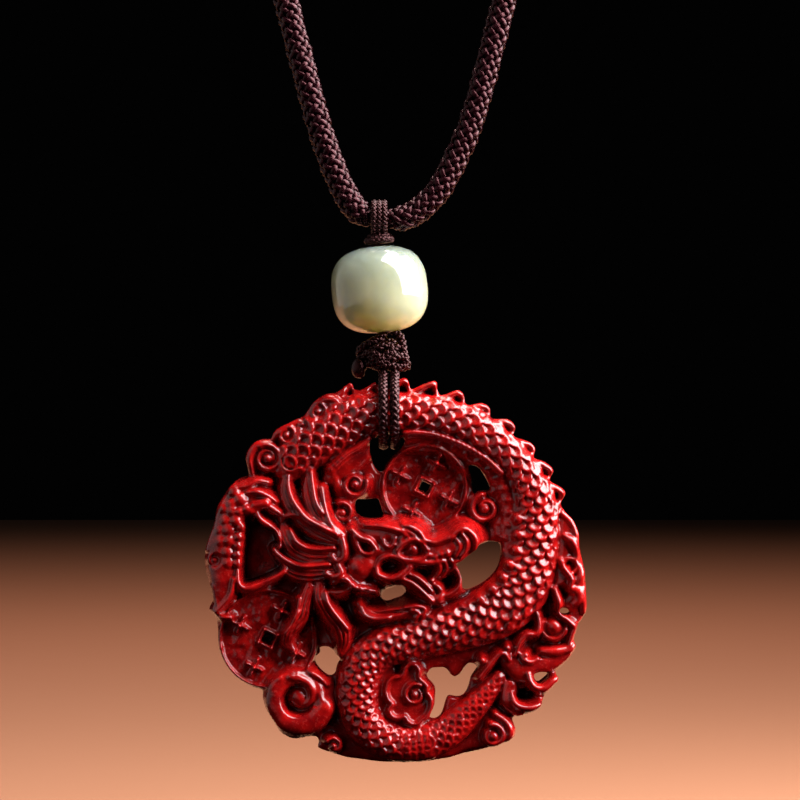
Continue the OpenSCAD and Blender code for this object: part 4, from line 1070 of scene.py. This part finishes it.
def flat_back(bottom, last, loops, carving, edge):
    """Points and triangles of the back, between the wall's last ring and a coarse inner grid."""
    inner_x = carving.x[::BACK_GRID, ::BACK_GRID]
    inner_y = carving.y[::BACK_GRID, ::BACK_GRID]
    deep = edge[::BACK_GRID, ::BACK_GRID] < -BACK_MARGIN
    inner = np.column_stack([inner_x[deep], inner_y[deep]])
    flat = [Vector(p) for p in np.vstack([bottom, inner])]
    found = delaunay_2d_cdt(flat, loops, [], 0, 1e-5)
    corners, triangles, sources = found[0], found[2], found[3]
    spots = np.array([sum((corners[v] for v in t), Vector((0, 0))) / len(t) for t in triangles])
    starts, ends = (bottom[list(side)] for side in zip(*loops))
    first = int(last[-1]) + 1
    points = [(x, y, 0, 0) for x, y in inner]
    number = {}
    for v, source in enumerate(sources):
        # What comes neither from the ring nor from the grid is a crossing
        if not source:
            number[v] = first + len(points)
            points.append((*corners[v], 0, 0))
        elif source[0] < len(last):
            number[v] = int(last[source[0]])
        else:
            number[v] = first + source[0] - len(last)
    faces = []
    for triangle, inside in zip(triangles, within(starts, ends, spots)):
        ids = [number[v] for v in triangle]
        if inside and len(set(ids)) == 3:
            faces.append(tuple(reversed(ids)))
    return np.array(points), faces


def pendant_mesh():
    carving, height, edge, recess = carve()
    grad_y, grad_x = np.gradient(edge, GRID)
    size = np.maximum(np.hypot(grad_x, grad_y), 0.3)
    values, faces = front_faces(edge, grad_x / size, grad_y / size, carving, height, recess)
    border = open_edges(faces)
    following = dict(border)
    ring = list(following)
    place = {v: i for i, v in enumerate(ring)}
    loops = [(place[v], place[w]) for v, w in border]
    outward = outward_ways(values, ring, following, place)
    rings, wall_faces, last = wall(values, ring, loops, outward)
    back, back_faces = flat_back(rings[-1][:, :2], last, loops, carving, edge)
    points = np.vstack([values, *rings, back])
    world = np.column_stack([DISC_X + points[:, 0] * STEP, BACK_Y - points[:, 2] * MM,
                             DISC_Z + points[:, 1] * STEP])
    mesh = bpy.data.meshes.new("pendant_carving")
    mesh.from_pydata(world.tolist(), [], faces + wall_faces + back_faces)
    # Depth of the recesses, which the cinnabar material turns into painted shade
    hollow = mesh.attributes.new("recess", "FLOAT", "POINT")
    hollow.data.foreach_set("value", points[:, 3].astype(np.float32))
    turn_outward(mesh)
    mesh.validate()
    shade_smooth(mesh)
    return mesh


def pendant():
    new_piece("pendant_carving", pendant_mesh(), CINNABAR, "drop", "pendant")


# Cords

def tube(path, outs, wide, thick, sides):
    """Vertices and faces of a tube along a path. Outs point away from the cord's middle; half
    width and half thickness are each a number, or a column with a value for each point."""
    path = np.asarray(path, float)
    ways = unit(np.gradient(path, axis=0))
    outs = unit(outs - ways * (outs * ways).sum(1)[:, None])
    flanks = np.cross(ways, outs)
    angles = np.arange(sides) * 2 * math.pi / sides
    count = len(path)
    ones = np.ones((count, 1))
    rim = (path[:, None] + flanks[:, None] * (ones * wide * np.cos(angles))[:, :, None]
           + outs[:, None] * (ones * thick * np.sin(angles))[:, :, None])
    faces = []
    for i in range(count - 1):
        for k in range(sides):
            a, b = i * sides + k, i * sides + (k + 1) % sides
            faces.append((a, b, b + sides, a + sides))
    faces.append(tuple(range(sides - 1, -1, -1)))
    faces.append(tuple((count - 1) * sides + k for k in range(sides)))
    return rim.reshape(-1, 3), faces


def lengths_along(route):
    gaps = np.linalg.norm(np.diff(route, axis=0), axis=1)
    return np.concatenate([[0], np.cumsum(gaps)])


def cord_frame(route, spacing, side=(0.0, -1.0, 0.0)):
    """Even points along a route in metres, with lengths and two directions across it."""
    route = np.asarray(route, float)
    lengths = lengths_along(route)
    count = max(int(lengths[-1] / spacing), 8)
    s = np.linspace(0, lengths[-1], count + 1)
    path = np.column_stack([np.interp(s, lengths, route[:, k]) for k in range(3)])
    ways = unit(np.gradient(path, axis=0))
    first = np.cross(ways, np.array(side))
    weak = np.linalg.norm(first, axis=1) < 0.2
    first[weak] = np.cross(ways[weak], np.array([1.0, 0.0, 0.0]))
    first = unit(first)
    for i in range(1, len(first)):
        if first[i] @ first[i - 1] < 0:
            first[i] = -first[i]
    return path, s, first, np.cross(first, ways)


def join_tubes(name, tubes):
    points = []
    faces = []
    count = 0
    for rim, skin in tubes:
        points.append(rim)
        faces += [tuple(v + count for v in face) for face in skin]
        count += len(rim)
    mesh = bpy.data.meshes.new(name)
    mesh.from_pydata(np.vstack(points).tolist(), [], faces)
    shade_smooth(mesh)
    return mesh


def twisted(route, radius, pitch, side=(0.0, -1.0, 0.0)):
    """Three plies of a twisted cord of the given radius along a route, all in metres."""
    path, s, first, second = cord_frame(route, pitch / 14, side)
    plies = 3
    # The plies press into each other a little
    ply = radius / (1 + 1 / math.sin(math.pi / plies)) * 1.12
    tubes = []
    for k in range(plies):
        angle = 2 * math.pi * s / pitch + 2 * math.pi * k / plies
        out = first * np.cos(angle)[:, None] + second * np.sin(angle)[:, None]
        tubes.append(tube(path + out * (radius - ply), out, ply, ply, 8))
    return tubes


def wander(s, step, seed):
    """Seeded smooth unevenness along a length, between -1 and 1, that changes over each step."""
    knots = np.random.default_rng(seed).uniform(-1, 1, int(s[-1] / step) + 3)
    return np.interp(s, np.arange(len(knots)) * step, knots)


def braided(route, radii, pitch, spacing, build, side=(0.0, -1.0, 0.0)):
    """Strands of a round braid along a route; radii gives its radius at each route point."""
    per_hand, middle_share, wave_share, play_share, wide_share, thick_share, core_share = build
    path, s, first, second = cord_frame(route, spacing, side)
    radius = np.interp(s, lengths_along(route), radii)
    wide = (radius * wide_share)[:, None]
    thick = (radius * thick_share)[:, None]
    tubes = []
    for k in range(per_hand):
        for hand in (1, -1):
            angle = 2 * math.pi * (hand * s / pitch + k / per_hand)
            angle += STRAY * wander(s, pitch / 7, seed=2 * k + hand + 1)
            # Over and under at each crossing with the strands of the other hand
            wave = hand * np.cos(2 * math.pi * per_hand * s / pitch)
            out = first * np.cos(angle)[:, None] + second * np.sin(angle)[:, None]
            play = wander(s, pitch / 9, seed=2 * k + hand + 40)
            away = radius * (middle_share + wave_share * wave + play_share * play)
            tubes.append(tube(path + out * away[:, None], out, wide, thick, 6))
    core = radius[::CORE_STEP, None] * core_share
    tubes.append(tube(path[::CORE_STEP], first[::CORE_STEP], core, core, 8))
    return tubes


# Strands each way round a braid, then shares of its radius: where the strands' middles lie, how
# far they go over and under, their unevenness, half width, half thickness, and the core
THICK_BRAID = (6, 0.69, 0.12, 0.06, 0.25, 0.17, 0.52)
THIN_BRAID = (3, 0.6, 0.14, 0.04, 0.4, 0.25, 0.4)
# How far a strand strays round the braid, in radians
STRAY = 0.15
# The core inside the strands has a point at every so many of theirs
CORE_STEP = 5

# Neck cord, as in the CAD source and in mm: its radius, the radius of the loop's round top, how
# far its straight sides lean, and where the hanger sits
NECK_CORD_R = 1.75
NAPE_R = 55
SIDE_LEAN = math.radians(14.5)
HANGER_X = -2.0
# Lowest part of each half: x and height over the bottom of the loop
LEFT_BEND = [
    (-2.05, 0), (-2.6, 0.02), (-3.1, 0.08), (-3.7, 0.25), (-4.3, 0.56), (-5.4, 1.7), (-6.6, 3.7),
    (-7.8, 6.4), (-9, 9.8), (-10.2, 13.8), (-11.9, 20.2), (-13.8, 27.6),
]
RIGHT_BEND = [
    (-1.95, 0), (-1.4, -0.03), (-0.9, -0.06), (-0.3, -0.08), (0.3, -0.08), (1.5, 0.2), (2.9, 1),
    (4.4, 2.3), (5.9, 4.2), (7.8, 7.8), (9.5, 11.8), (11.3, 17.9), (13.8, 27.6),
]
# The hanger squeezes the cord to this share of its radius, and over this length to each side
WAIST = 0.66
WAIST_L = 1.9
# Half length of the knot at the nape, the straight lead into it, and the gap to it
KNOT_HALF = 7.0
CORD_LEAD = 0.6
END_GAP = 0.05


def neck_side(bend, way):
    """Route of one half of the neck cord in metres, and its radius at each point."""
    nape_x = KNOT_HALF + CORD_LEAD
    tangent_x = nape_x + NAPE_R * math.cos(SIDE_LEAN)
    tangent_z = bend[-1][1] + (tangent_x - abs(bend[-1][0])) / math.tan(SIDE_LEAN)
    centre_z = tangent_z + NAPE_R * math.sin(SIDE_LEAN)
    points = list(smooth(bend, 6))
    end = np.array(bend[-1], float)
    tangent = np.array([way * tangent_x, tangent_z])
    points += [end + (tangent - end) * i / 18 for i in range(1, 19)]
    for i in range(1, 41):
        angle = -SIDE_LEAN + (math.pi / 2 + SIDE_LEAN) * i / 40
        points.append(np.array([way * (nape_x + NAPE_R * math.cos(angle)),
                                centre_z + NAPE_R * math.sin(angle)]))
    points.append(np.array([way * (KNOT_HALF + END_GAP), centre_z + NAPE_R]))
    points = np.array(points)
    far = np.hypot(points[:, 0] - HANGER_X, points[:, 1])
    radii = NECK_CORD_R * (1 - (1 - WAIST) * np.exp(-((far / WAIST_L) ** 4)))
    route = np.column_stack([points[:, 0] * MM, np.zeros(len(points)),
                             points[:, 1] * MM + hinge.z])
    return route, radii * MM


# Round braid: a strand makes one turn in this length, and has a point at each spacing
BRAID_PITCH = 8.2 * MM
BRAID_SPACING = 0.256 * MM


def neck_cord(name, bend, way):
    route, radii = neck_side(bend, way)
    strands = braided(route, radii, BRAID_PITCH, BRAID_SPACING, THICK_BRAID)
    mesh = join_tubes(name, strands)
    new_piece(name + "_braid", mesh, BRAID_YARN, "neck", name)


# Sleeve knot at the nape, in mm: radius over all, its cord and its core, the core's share of the
# knot's length, the turns of the cord side by side, and the pitch of their plies
SLEEVE_R = 3.2
SLEEVE_CORD_R = 0.9
SLEEVE_CORE_R = 1.9
SLEEVE_CORE_SHARE = 0.97
SLEEVE_TURNS = 7
SLEEVE_PITCH = 3.0


def back_knot():
    low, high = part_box("back_knot")
    middle_z = (low.z + high.z) / 2
    step = (2 * KNOT_HALF - 2 * SLEEVE_CORD_R) / SLEEVE_TURNS
    r = SLEEVE_R - SLEEVE_CORD_R
    parts = 24
    route = []
    for i in range(SLEEVE_TURNS * parts + 1):
        angle = 2 * math.pi * i / parts
        x = -KNOT_HALF + SLEEVE_CORD_R + step * i / parts
        route.append((x * MM, -r * math.sin(angle) * MM, middle_z + r * math.cos(angle) * MM))
    tubes = twisted(route, SLEEVE_CORD_R * MM, SLEEVE_PITCH * MM, side=(1.0, 0.0, 0.0))
    core = [(x * KNOT_HALF * MM * SLEEVE_CORE_SHARE, 0, middle_z)
            for x in np.linspace(-1, 1, 20)]
    path, s, first, second = cord_frame(core, 0.7 * MM)
    tubes.append(tube(path, first, SLEEVE_CORE_R * MM, SLEEVE_CORE_R * MM, 20))
    new_piece("back_knot_wrap", join_tubes("back_knot", tubes), BRAID_YARN, "neck",
              "back_knot")


# Cord in the bead: its plies make one turn in this length
TWIST_PITCH = 1.9 * MM
THREAD_R = 0.95
# Pitch of the fine braid in its own radii, and its points for each turn
THIN_PITCH = 3.3
THIN_POINTS = 24
# Hanger: cord of the collar, cord and spacing of the turns over the braid, the room between them
# and the braid, and the radius of a turn
HANGER_CORD_R = 0.5
HANGER_TURN_R = 0.46
HANGER_STEP = 0.64
HANGER_ROOM = 0.3
HANGER_R = NECK_CORD_R * WAIST + HANGER_ROOM + HANGER_CORD_R
# Height and radius of the collar's rings, and radius of the filling inside
COLLAR = [(-2.35, 1.1), (-2.75, 1.5)]
COLLAR_FILLING_R = 1.3
BEAD_TILT = math.radians(5.5)


def thin_cord(route, radius_mm, side=(0.0, -1.0, 0.0)):
    """Fine round braid of an even radius."""
    pitch = radius_mm * THIN_PITCH * MM
    radii = np.full(len(route), radius_mm * MM)
    return braided(route, radii, pitch, pitch / THIN_POINTS, THIN_BRAID, side)


def ring_route(centre, r, first, second, parts=48):
    return [centre + (first * math.cos(2 * math.pi * i / parts)
                      + second * math.sin(2 * math.pi * i / parts)) * r
            for i in range(parts + 1)]


def hanger_loop():
    tubes = []
    across = Vector((0, -1, 0))
    up = Vector((0, 0, 1))
    tilted = Vector((math.cos(BEAD_TILT), 0, math.sin(BEAD_TILT)))
    slant = Vector((-math.sin(BEAD_TILT), 0, math.cos(BEAD_TILT)))
    for side in (-1, 0, 1):
        middle = hinge + Vector((side * HANGER_STEP * MM, 0, 0))
        route = ring_route(middle, HANGER_R * MM, up, across)
        tubes += thin_cord(route, HANGER_TURN_R, side=(1.0, 0.0, 0.0))
    for z, r in COLLAR:
        middle = hinge + Vector((0, 0, z * MM))
        route = ring_route(middle, r * MM, tilted, across)
        tubes += thin_cord(route, HANGER_CORD_R, side=(0.0, 0.0, 1.0))
    # Filling inside the lower ring of the collar
    plug = np.array([middle + slant * z * MM for z in (-0.45, -0.2, 0.2, 0.45)])
    outs = np.tile([0.0, -1.0, 0.0], (len(plug), 1))
    tubes.append(tube(plug, outs, COLLAR_FILLING_R * MM, COLLAR_FILLING_R * MM, 24))
    new_piece("hanger_cord", join_tubes("hanger_loop", tubes), TWISTED_CORD, "drop",
              "hanger_loop")


# Bead and bore in mm; the bulge makes its outline fuller than an ellipse
BEAD_R = 6.1
BEAD_HALF = 5.5
BEAD_BULGE = 2.7
BORE_R = 1.1
# The barrel ends at the first share of the bore's radius, and its lip at the second
BARREL_END = 1.18
LIP = 1.06
THREAD_HALF = 5.4


def bead_frame():
    middle = (bead_low + bead_high) / 2
    axis = np.array([-math.sin(BEAD_TILT), 0, math.cos(BEAD_TILT)])
    across = np.array([math.cos(BEAD_TILT), 0, math.sin(BEAD_TILT)])
    return np.array(middle), axis, across, np.array([0.0, -1.0, 0.0])


def bead_outline():
    """Radius and height round the bead's section: over its outside, then down its bore."""
    rings = 56
    outside = []
    for i in range(rings + 1):
        angle = math.pi * (0.5 - i / rings)
        r = BEAD_R * max(math.cos(angle), 0) ** (2 / BEAD_BULGE)
        z = BEAD_HALF * math.copysign(abs(math.sin(angle)) ** (2 / BEAD_BULGE), math.sin(angle))
        if r > BORE_R * BARREL_END:
            outside.append((r, z))
    top = outside[0][1]
    lip_r = BORE_R * LIP
    lip_z = top - 0.02
    bore_z = top - 0.15
    return ([(lip_r, lip_z)] + outside + [(lip_r, -lip_z)]
            + [(BORE_R, -bore_z), (BORE_R, 0), (BORE_R, bore_z)])


def jade_bead():
    """Barrel bead turned round its bore, with a rounded lip at each end of the bore."""
    middle, axis, across, front = bead_frame()
    outline = bead_outline()
    parts = 96
    points = []
    for r, z in outline:
        for k in range(parts):
            angle = 2 * math.pi * k / parts
            out = across * math.cos(angle) + front * math.sin(angle)
            points.append(tuple(middle + (axis * z + out * r) * MM))
    faces = []
    for i in range(len(outline)):
        this, after = i * parts, (i + 1) % len(outline) * parts
        for k in range(parts):
            beside = (k + 1) % parts
            faces.append((this + k, this + beside, after + beside, after + k))
    mesh = bpy.data.meshes.new("jade_bead")
    mesh.from_pydata(points, [], faces)
    turn_outward(mesh)
    shade_smooth(mesh)
    new_piece("jade_barrel_bead", mesh, JADE, "drop", "jade_bead")


def bead_thread():
    middle, axis, across, front = bead_frame()
    ends = [middle + axis * z * MM for z in np.linspace(-THREAD_HALF, THREAD_HALF, 12)]
    tubes = twisted(ends, THREAD_R * MM, TWIST_PITCH)
    new_piece("bead_cord", join_tubes("bead_thread", tubes), TWISTED_CORD, "drop",
              "bead_thread")


def drawn(x, y, depth):
    """Point in metres from steps across and up and mm over the disc's back face."""
    return (DISC_X + x * STEP, BACK_Y - depth * MM, DISC_Z + y * STEP)


# Strands of the lower knot: x and y in steps, mm in front of the cord's plane
KNOT_STRANDS = [
    [(-12, 238, 0.5), (-17, 231, 0.9), (-27, 226, 0.9), (-36, 220, 0.3), (-36, 211, -0.4),
     (-28, 205, 0.5), (-18, 208, 1.3), (-8, 216, 1.5), (1, 222, 1.0), (6, 218, 0.2),
     (5, 209, -0.6)],
    [(-2, 238, 0.6), (4, 230, 0.7), (6, 219, 0.9), (8, 208, 0.8), (3, 202, 0.9), (-8, 205, 1.5),
     (-18, 212, 1.6), (-27, 217, 1.1), (-33, 212, 0.0), (-32, 204, -0.6)],
    [(-24, 219, 1.2), (-17, 222, 1.5), (-9, 224, 1.2), (-4, 217, 1.4), (-8, 209, 1.6),
     (-16, 202, 1.1), (-22, 204, 0.2)],
    [(-14, 196, 0.4), (-15, 203, 0.6), (-6, 210, 1.7), (3, 213, 1.3), (9, 207, 0.5),
     (9, 201, -0.3)],
    [(-2, 196, 0.4), (-3, 203, 0.5), (-12, 204, 1.6), (-22, 210, 1.4), (-28, 214, 0.4)],
    [(-30, 223, -0.8), (-16, 228, -0.9), (0, 224, -1.0), (6, 212, -0.9), (-4, 203, -1.1),
     (-22, 204, -1.1), (-32, 212, -0.9)],
    [(-20, 222, -1.2), (-14, 212, -1.6), (-8, 203, -1.2)],
]
KNOT_R = 0.62


def swollen(route, spacing, end, wide, thick):
    """Tube that swells from its ends to its middle; half width and half thickness in mm."""
    path, s, first, second = cord_frame(route, spacing * MM)
    swell = np.sin(np.linspace(end, math.pi - end, len(path)))[:, None] ** 0.5
    return tube(path, first, wide * MM * swell, thick * MM * swell, 16)


# Heat-set end of the cord at the lower left, as the strands are given
CORD_END = [(-33, 211, -0.2), (-37, 205, 0.0), (-38, 198, 0.1), (-35, 192, 0.0)]


def lower_knot():
    tubes = []
    for row in KNOT_STRANDS:
        route = [drawn(x, y, depth + BACK_Y / MM) for x, y, depth in smooth(row, 8)]
        tubes += thin_cord(route, KNOT_R)
    route = [drawn(x, y, depth + BACK_Y / MM) for x, y, depth in smooth(CORD_END, 5)]
    tubes.append(swollen(route, 0.12, 0.12, 1.0, 1.0))
    # Dark core that closes the middle of the knot
    core = [drawn(x, 212, BACK_Y / MM) for x in np.linspace(-28, 2, 16)]
    tubes.append(swollen(core, 0.25, 0.2, 1.15, 1.0))
    new_piece("lower_knot_cord", join_tubes("lower_knot", tubes), TWISTED_CORD,
              "drop", "lower_knot")


# Radius of the pendant loop's strands in the CAD source and in this scene, in mm
STRAND_R = 0.68
LOOP_CORD_R = 0.69
FRONT_REACH = level(0.72) + STRAND_R + 0.2
BACK_REACH = -STRAND_R - 0.25
# Pendant loop: height in steps and depth over the back face in mm
LOOP_LINE = [
    (196, BACK_Y / MM + 1.1), (189, BACK_Y / MM + 1.9), (182, FRONT_REACH - 1.7),
    (173, FRONT_REACH - 0.6), (161, FRONT_REACH), (148, FRONT_REACH - 0.1),
    (139, FRONT_REACH - 1), (132, FRONT_REACH - 2.3), (127, FRONT_REACH - 3.9), (124.6, 2.2),
    (124.6, 0.5), (126.4, -0.5), (131, BACK_REACH), (141, BACK_REACH - 0.05),
    (157, BACK_REACH), (171, BACK_REACH), (180, BACK_REACH + 0.3), (187, BACK_REACH + 1.2),
    (196, BACK_Y / MM - 1.3),
]


def pendant_loop(name, across):
    """One strand of the loop that carries the disc; across is its place in steps."""
    route = [drawn(across, y, depth) for y, depth in smooth(LOOP_LINE, 6)]
    tubes = thin_cord(route, LOOP_CORD_R, side=(1.0, 0.0, 0.0))
    new_piece(name + "_cord", join_tubes(name, tubes), TWISTED_CORD, "drop", name)


# Materials

def linear(hex_colour):
    """Linear colour with alpha from an sRGB hex value."""
    channels = [int(hex_colour[i:i + 2], 16) / 255 for i in (1, 3, 5)]
    return [c / 12.92 if c <= 0.04045 else ((c + 0.055) / 1.055) ** 2.4 for c in channels] + [1.0]


def new_material(name):
    made = bpy.data.materials.new(name)
    made.use_nodes = True
    return made, made.node_tree, made.node_tree.nodes["Principled BSDF"]


def add(tree, kind, settings, links):
    """Adds a node. Settings name its inputs or properties, links its inputs and their sources."""
    node = tree.nodes.new("ShaderNode" + kind)
    for key, value in settings.items():
        if key == "stops":
            ramp = node.color_ramp.elements
            while len(ramp) < len(value):
                ramp.new(1.0)
            for stop, (place, hex_colour) in zip(ramp, value):
                stop.position = place
                stop.color = linear(hex_colour)
        elif isinstance(key, str) and hasattr(node, key):
            setattr(node, key, value)
        else:
            node.inputs[key].default_value = value
    for key, source in links.items():
        tree.links.new(source, node.inputs[key])
    return node


def set_shader(shader, settings):
    for key, value in settings.items():
        shader.inputs[key].default_value = value


def per_mm(size_mm):
    """Noise scale for a pattern of this size."""
    return 1 / (size_mm * MM)


def cinnabar():
    """Bonded cinnabar, moulded and carved, then waxed: deep red, painted near black in the recesses
    as shade, with the dust and wax that stay there.
    """
    made, tree, shader = new_material("waxed_cinnabar")
    place = add(tree, "TexCoord", {}, {}).outputs["Object"]
    recess = add(tree, "Attribute", {"attribute_name": "recess"}, {}).outputs["Fac"]
    # Patches of the bonded powder, and its grit, drawn coarser than it is so that it shows
    patches = add(tree, "TexNoise", {"Scale": per_mm(1.6), "Detail": 5.0}, {"Vector": place})
    grit = add(tree, "TexNoise", {"Scale": per_mm(0.35), "Detail": 4.0}, {"Vector": place})
    patches = patches.outputs["Fac"]
    grit = grit.outputs["Fac"]
    red = add(tree, "ValToRGB", {"stops": [(0.3, "#6a0306"), (0.7, "#ae0d0b")]}, {"Fac": patches})
    specks = add(tree, "MapRange", {"From Min": 0.58, "From Max": 0.76, "To Max": 0.5},
                 {"Value": grit})
    speckled = add(tree, "Mix", {"data_type": "RGBA", 7: linear("#b4332a")},
                   {0: specks.outputs["Result"], 6: red.outputs["Color"]})
    # Painted shade that darkens the red towards near black in the recesses, with the dust and wax
    # that stay there
    painted_shade = add(tree, "MapRange", {"From Min": 0.1, "From Max": 0.9, "To Max": 0.85},
               {"Value": recess})
    coloured = add(tree, "Mix", {"data_type": "RGBA", 7: linear("#220205")},
                   {0: painted_shade.outputs["Result"], 6: speckled.outputs[2]})
    rough = add(tree, "MapRange", {"To Min": 0.12, "To Max": 0.38}, {"Value": grit})
    bump = add(tree, "Bump", {"Strength": 0.5, "Distance": 0.06 * MM}, {"Height": grit})
    tree.links.new(coloured.outputs[2], shader.inputs["Base Color"])
    tree.links.new(rough.outputs["Result"], shader.inputs["Roughness"])
    tree.links.new(bump.outputs["Normal"], shader.inputs["Normal"])
    set_shader(shader, {"IOR": 1.46, "Coat Weight": 0.2, "Coat Roughness": 0.08})
    return made


# Tones of the bead from its lower end to its upper end: yellow below and grey-green above, with the
# lower end painted lighter and the upper end painted darker to offset how the key lamp falls on it
JADE_TONES_AND_PAINTED_LIGHT = [(0, "#dad4a0"), (0.25, "#b8b392"), (0.6, "#8d9181"), (1, "#69736d")]


def jade():
    """Nephrite jade, ground and polished: cloudy grey-green over yellow, glassy surface; the lower
    end is painted lighter and the upper end painted darker to offset the key lamp.
    """
    made, tree, shader = new_material("polished_jade")
    place = add(tree, "TexCoord", {}, {}).outputs["Object"]
    height = add(tree, "SeparateXYZ", {}, {"Vector": place}).outputs["Z"]
    share = add(tree, "MapRange", {"From Min": bead_low.z, "From Max": bead_high.z},
                {"Value": height})
    cloud = add(tree, "TexNoise", {"Scale": per_mm(5), "Detail": 4.0, "Distortion": 0.6},
                {"Vector": place})
    mixed = add(tree, "Math", {"operation": "MULTIPLY_ADD", 1: 0.45},
                {0: cloud.outputs["Fac"], 2: share.outputs["Result"]})
    shifted = add(tree, "Math", {"operation": "SUBTRACT", 1: 0.22}, {0: mixed.outputs[0]})
    # The ramp carries painted light at the lower end and painted shade at the upper end
    tone = add(tree, "ValToRGB", {"stops": JADE_TONES_AND_PAINTED_LIGHT}, {"Fac": shifted.outputs[0]})
    tree.links.new(tone.outputs["Color"], shader.inputs["Base Color"])
    set_shader(shader, {"IOR": 1.61, "Roughness": 0.08, "Specular IOR Level": 0.7,
                        "Coat Weight": 0.5, "Coat Roughness": 0.02,
                        "Subsurface Weight": 1.0, "Subsurface Scale": 14 * MM,
                        "Subsurface Radius": (1.0, 0.9, 0.6)})
    return made


def yarn(name, dark, light, sheen, filament_mm):
    """Spun polyester yarn: fine filaments with a soft reddish shine, drawn coarser than they are
    so that they show."""
    made, tree, shader = new_material(name)
    place = add(tree, "TexCoord", {}, {}).outputs["Object"]
    fibre = add(tree, "TexNoise", {"Scale": per_mm(filament_mm), "Detail": 5.0,
                                   "Distortion": 1.5}, {"Vector": place})
    fibre = fibre.outputs["Fac"]
    tone = add(tree, "ValToRGB", {"stops": [(0, dark), (1, light)]}, {"Fac": fibre})
    bump = add(tree, "Bump", {"Strength": 0.6, "Distance": 0.06 * MM}, {"Height": fibre})
    tree.links.new(tone.outputs["Color"], shader.inputs["Base Color"])
    tree.links.new(bump.outputs["Normal"], shader.inputs["Normal"])
    set_shader(shader, {"Roughness": 0.2, "Specular IOR Level": 0.45,
                        "Specular Tint": linear(sheen)})
    return made


def floor_paint():
    """Matt paint on a board: plain, pale and warm."""
    made, tree, shader = new_material("floor_paint")
    place = add(tree, "TexCoord", {}, {}).outputs["Object"]
    grain = add(tree, "TexNoise", {"Scale": 40.0}, {"Vector": place})
    rough = add(tree, "MapRange", {"To Min": 0.67, "To Max": 0.73},
                {"Value": grain.outputs["Fac"]})
    tree.links.new(rough.outputs["Result"], shader.inputs["Roughness"])
    set_shader(shader, {"Base Color": linear("#9c684a")})
    return made


# Stage

# Camera: distance in front of the disc, width of the view and its middle
CAMERA_FAR = 0.45
VIEW_WIDE = 101.3 * MM
VIEW_MIDDLE = (0.63 * MM, -298.1 * MM)
SENSOR = 36
# Floor: height, half width, and where it starts and ends behind the necklace
FLOOR_Z = -0.372
FLOOR_HALF = 3.0
FLOOR_NEAR = 0.08
FLOOR_FAR = 1.74


def camera():
    data = bpy.data.cameras.new("camera")
    data.sensor_width = SENSOR
    data.lens = SENSOR * CAMERA_FAR / VIEW_WIDE
    data.clip_start = 0.01
    made = bpy.data.objects.new("camera", data)
    made.location = (VIEW_MIDDLE[0], -CAMERA_FAR, VIEW_MIDDLE[1])
    made.rotation_euler = (math.pi / 2, 0, 0)
    bpy.context.scene.collection.objects.link(made)
    bpy.context.scene.camera = made


def softbox(name, place, target, wide, high, watts, hex_colour="#ffffff", spread=180):
    data = bpy.data.lights.new(name, "AREA")
    data.spread = math.radians(spread)
    data.shape = "RECTANGLE"
    data.size = wide
    data.size_y = high
    data.energy = watts
    data.color = linear(hex_colour)[:3]
    made = bpy.data.objects.new(name, data)
    made.location = place
    made.rotation_euler = (Vector(target) - Vector(place)).to_track_quat("-Z", "Y").to_euler()
    bpy.context.scene.collection.objects.link(made)


def floor():
    mesh = bpy.data.meshes.new("floor")
    corners = [(-FLOOR_HALF, FLOOR_NEAR, FLOOR_Z), (FLOOR_HALF, FLOOR_NEAR, FLOOR_Z),
               (FLOOR_HALF, FLOOR_FAR, FLOOR_Z), (-FLOOR_HALF, FLOOR_FAR, FLOOR_Z)]
    mesh.from_pydata(corners, [], [(0, 1, 2, 3)])
    made = bpy.data.objects.new("floor", mesh)
    mesh.materials.append(floor_paint())
    bpy.context.scene.collection.objects.link(made)


def lights():
    """Key lamp at the upper right, a wide weak one at the left, and one over the floor."""
    middle = (bead_low + bead_high) / 2
    softbox("key", middle + Vector((0.204, -0.028, 0.18)), middle, wide=0.335, high=0.48,
            watts=8.6)
    wall_lamp = middle + Vector((-0.34, -0.45, 0.12))
    softbox("wall", wall_lamp, wall_lamp + Vector((1, 0, 0)), wide=1.4, high=0.5, watts=1.0)
    softbox("over", (0.0, 0.6, FLOOR_Z + 1.0), (0, 0.6, FLOOR_Z), wide=0.3, high=0.3, watts=2.1,
            hex_colour="#ffdcce", spread=90)


def surroundings():
    world = bpy.data.worlds.new("world")
    world.use_nodes = True
    world.node_tree.nodes["Background"].inputs["Color"].default_value = linear("#020202")
    bpy.context.scene.world = world
    bpy.context.scene.view_settings.view_transform = "Standard"


BRAID_YARN = yarn("maroon_braid_yarn", "#070102", "#1c0409", "#e08890", 0.16)
TWISTED_CORD = yarn("brown_twisted_cord", "#050101", "#180504", "#e89498", 0.14)
JADE = jade()
CINNABAR = cinnabar()

camera()
floor()
lights()
surroundings()
neck_cord("neck_cord_left", LEFT_BEND, -1)
neck_cord("neck_cord_right", RIGHT_BEND, 1)
back_knot()
hanger_loop()
jade_bead()
bead_thread()
lower_knot()
pendant_loop("pendant_loop_left", -13.7)
pendant_loop("pendant_loop_right", -2.3)
pendant()
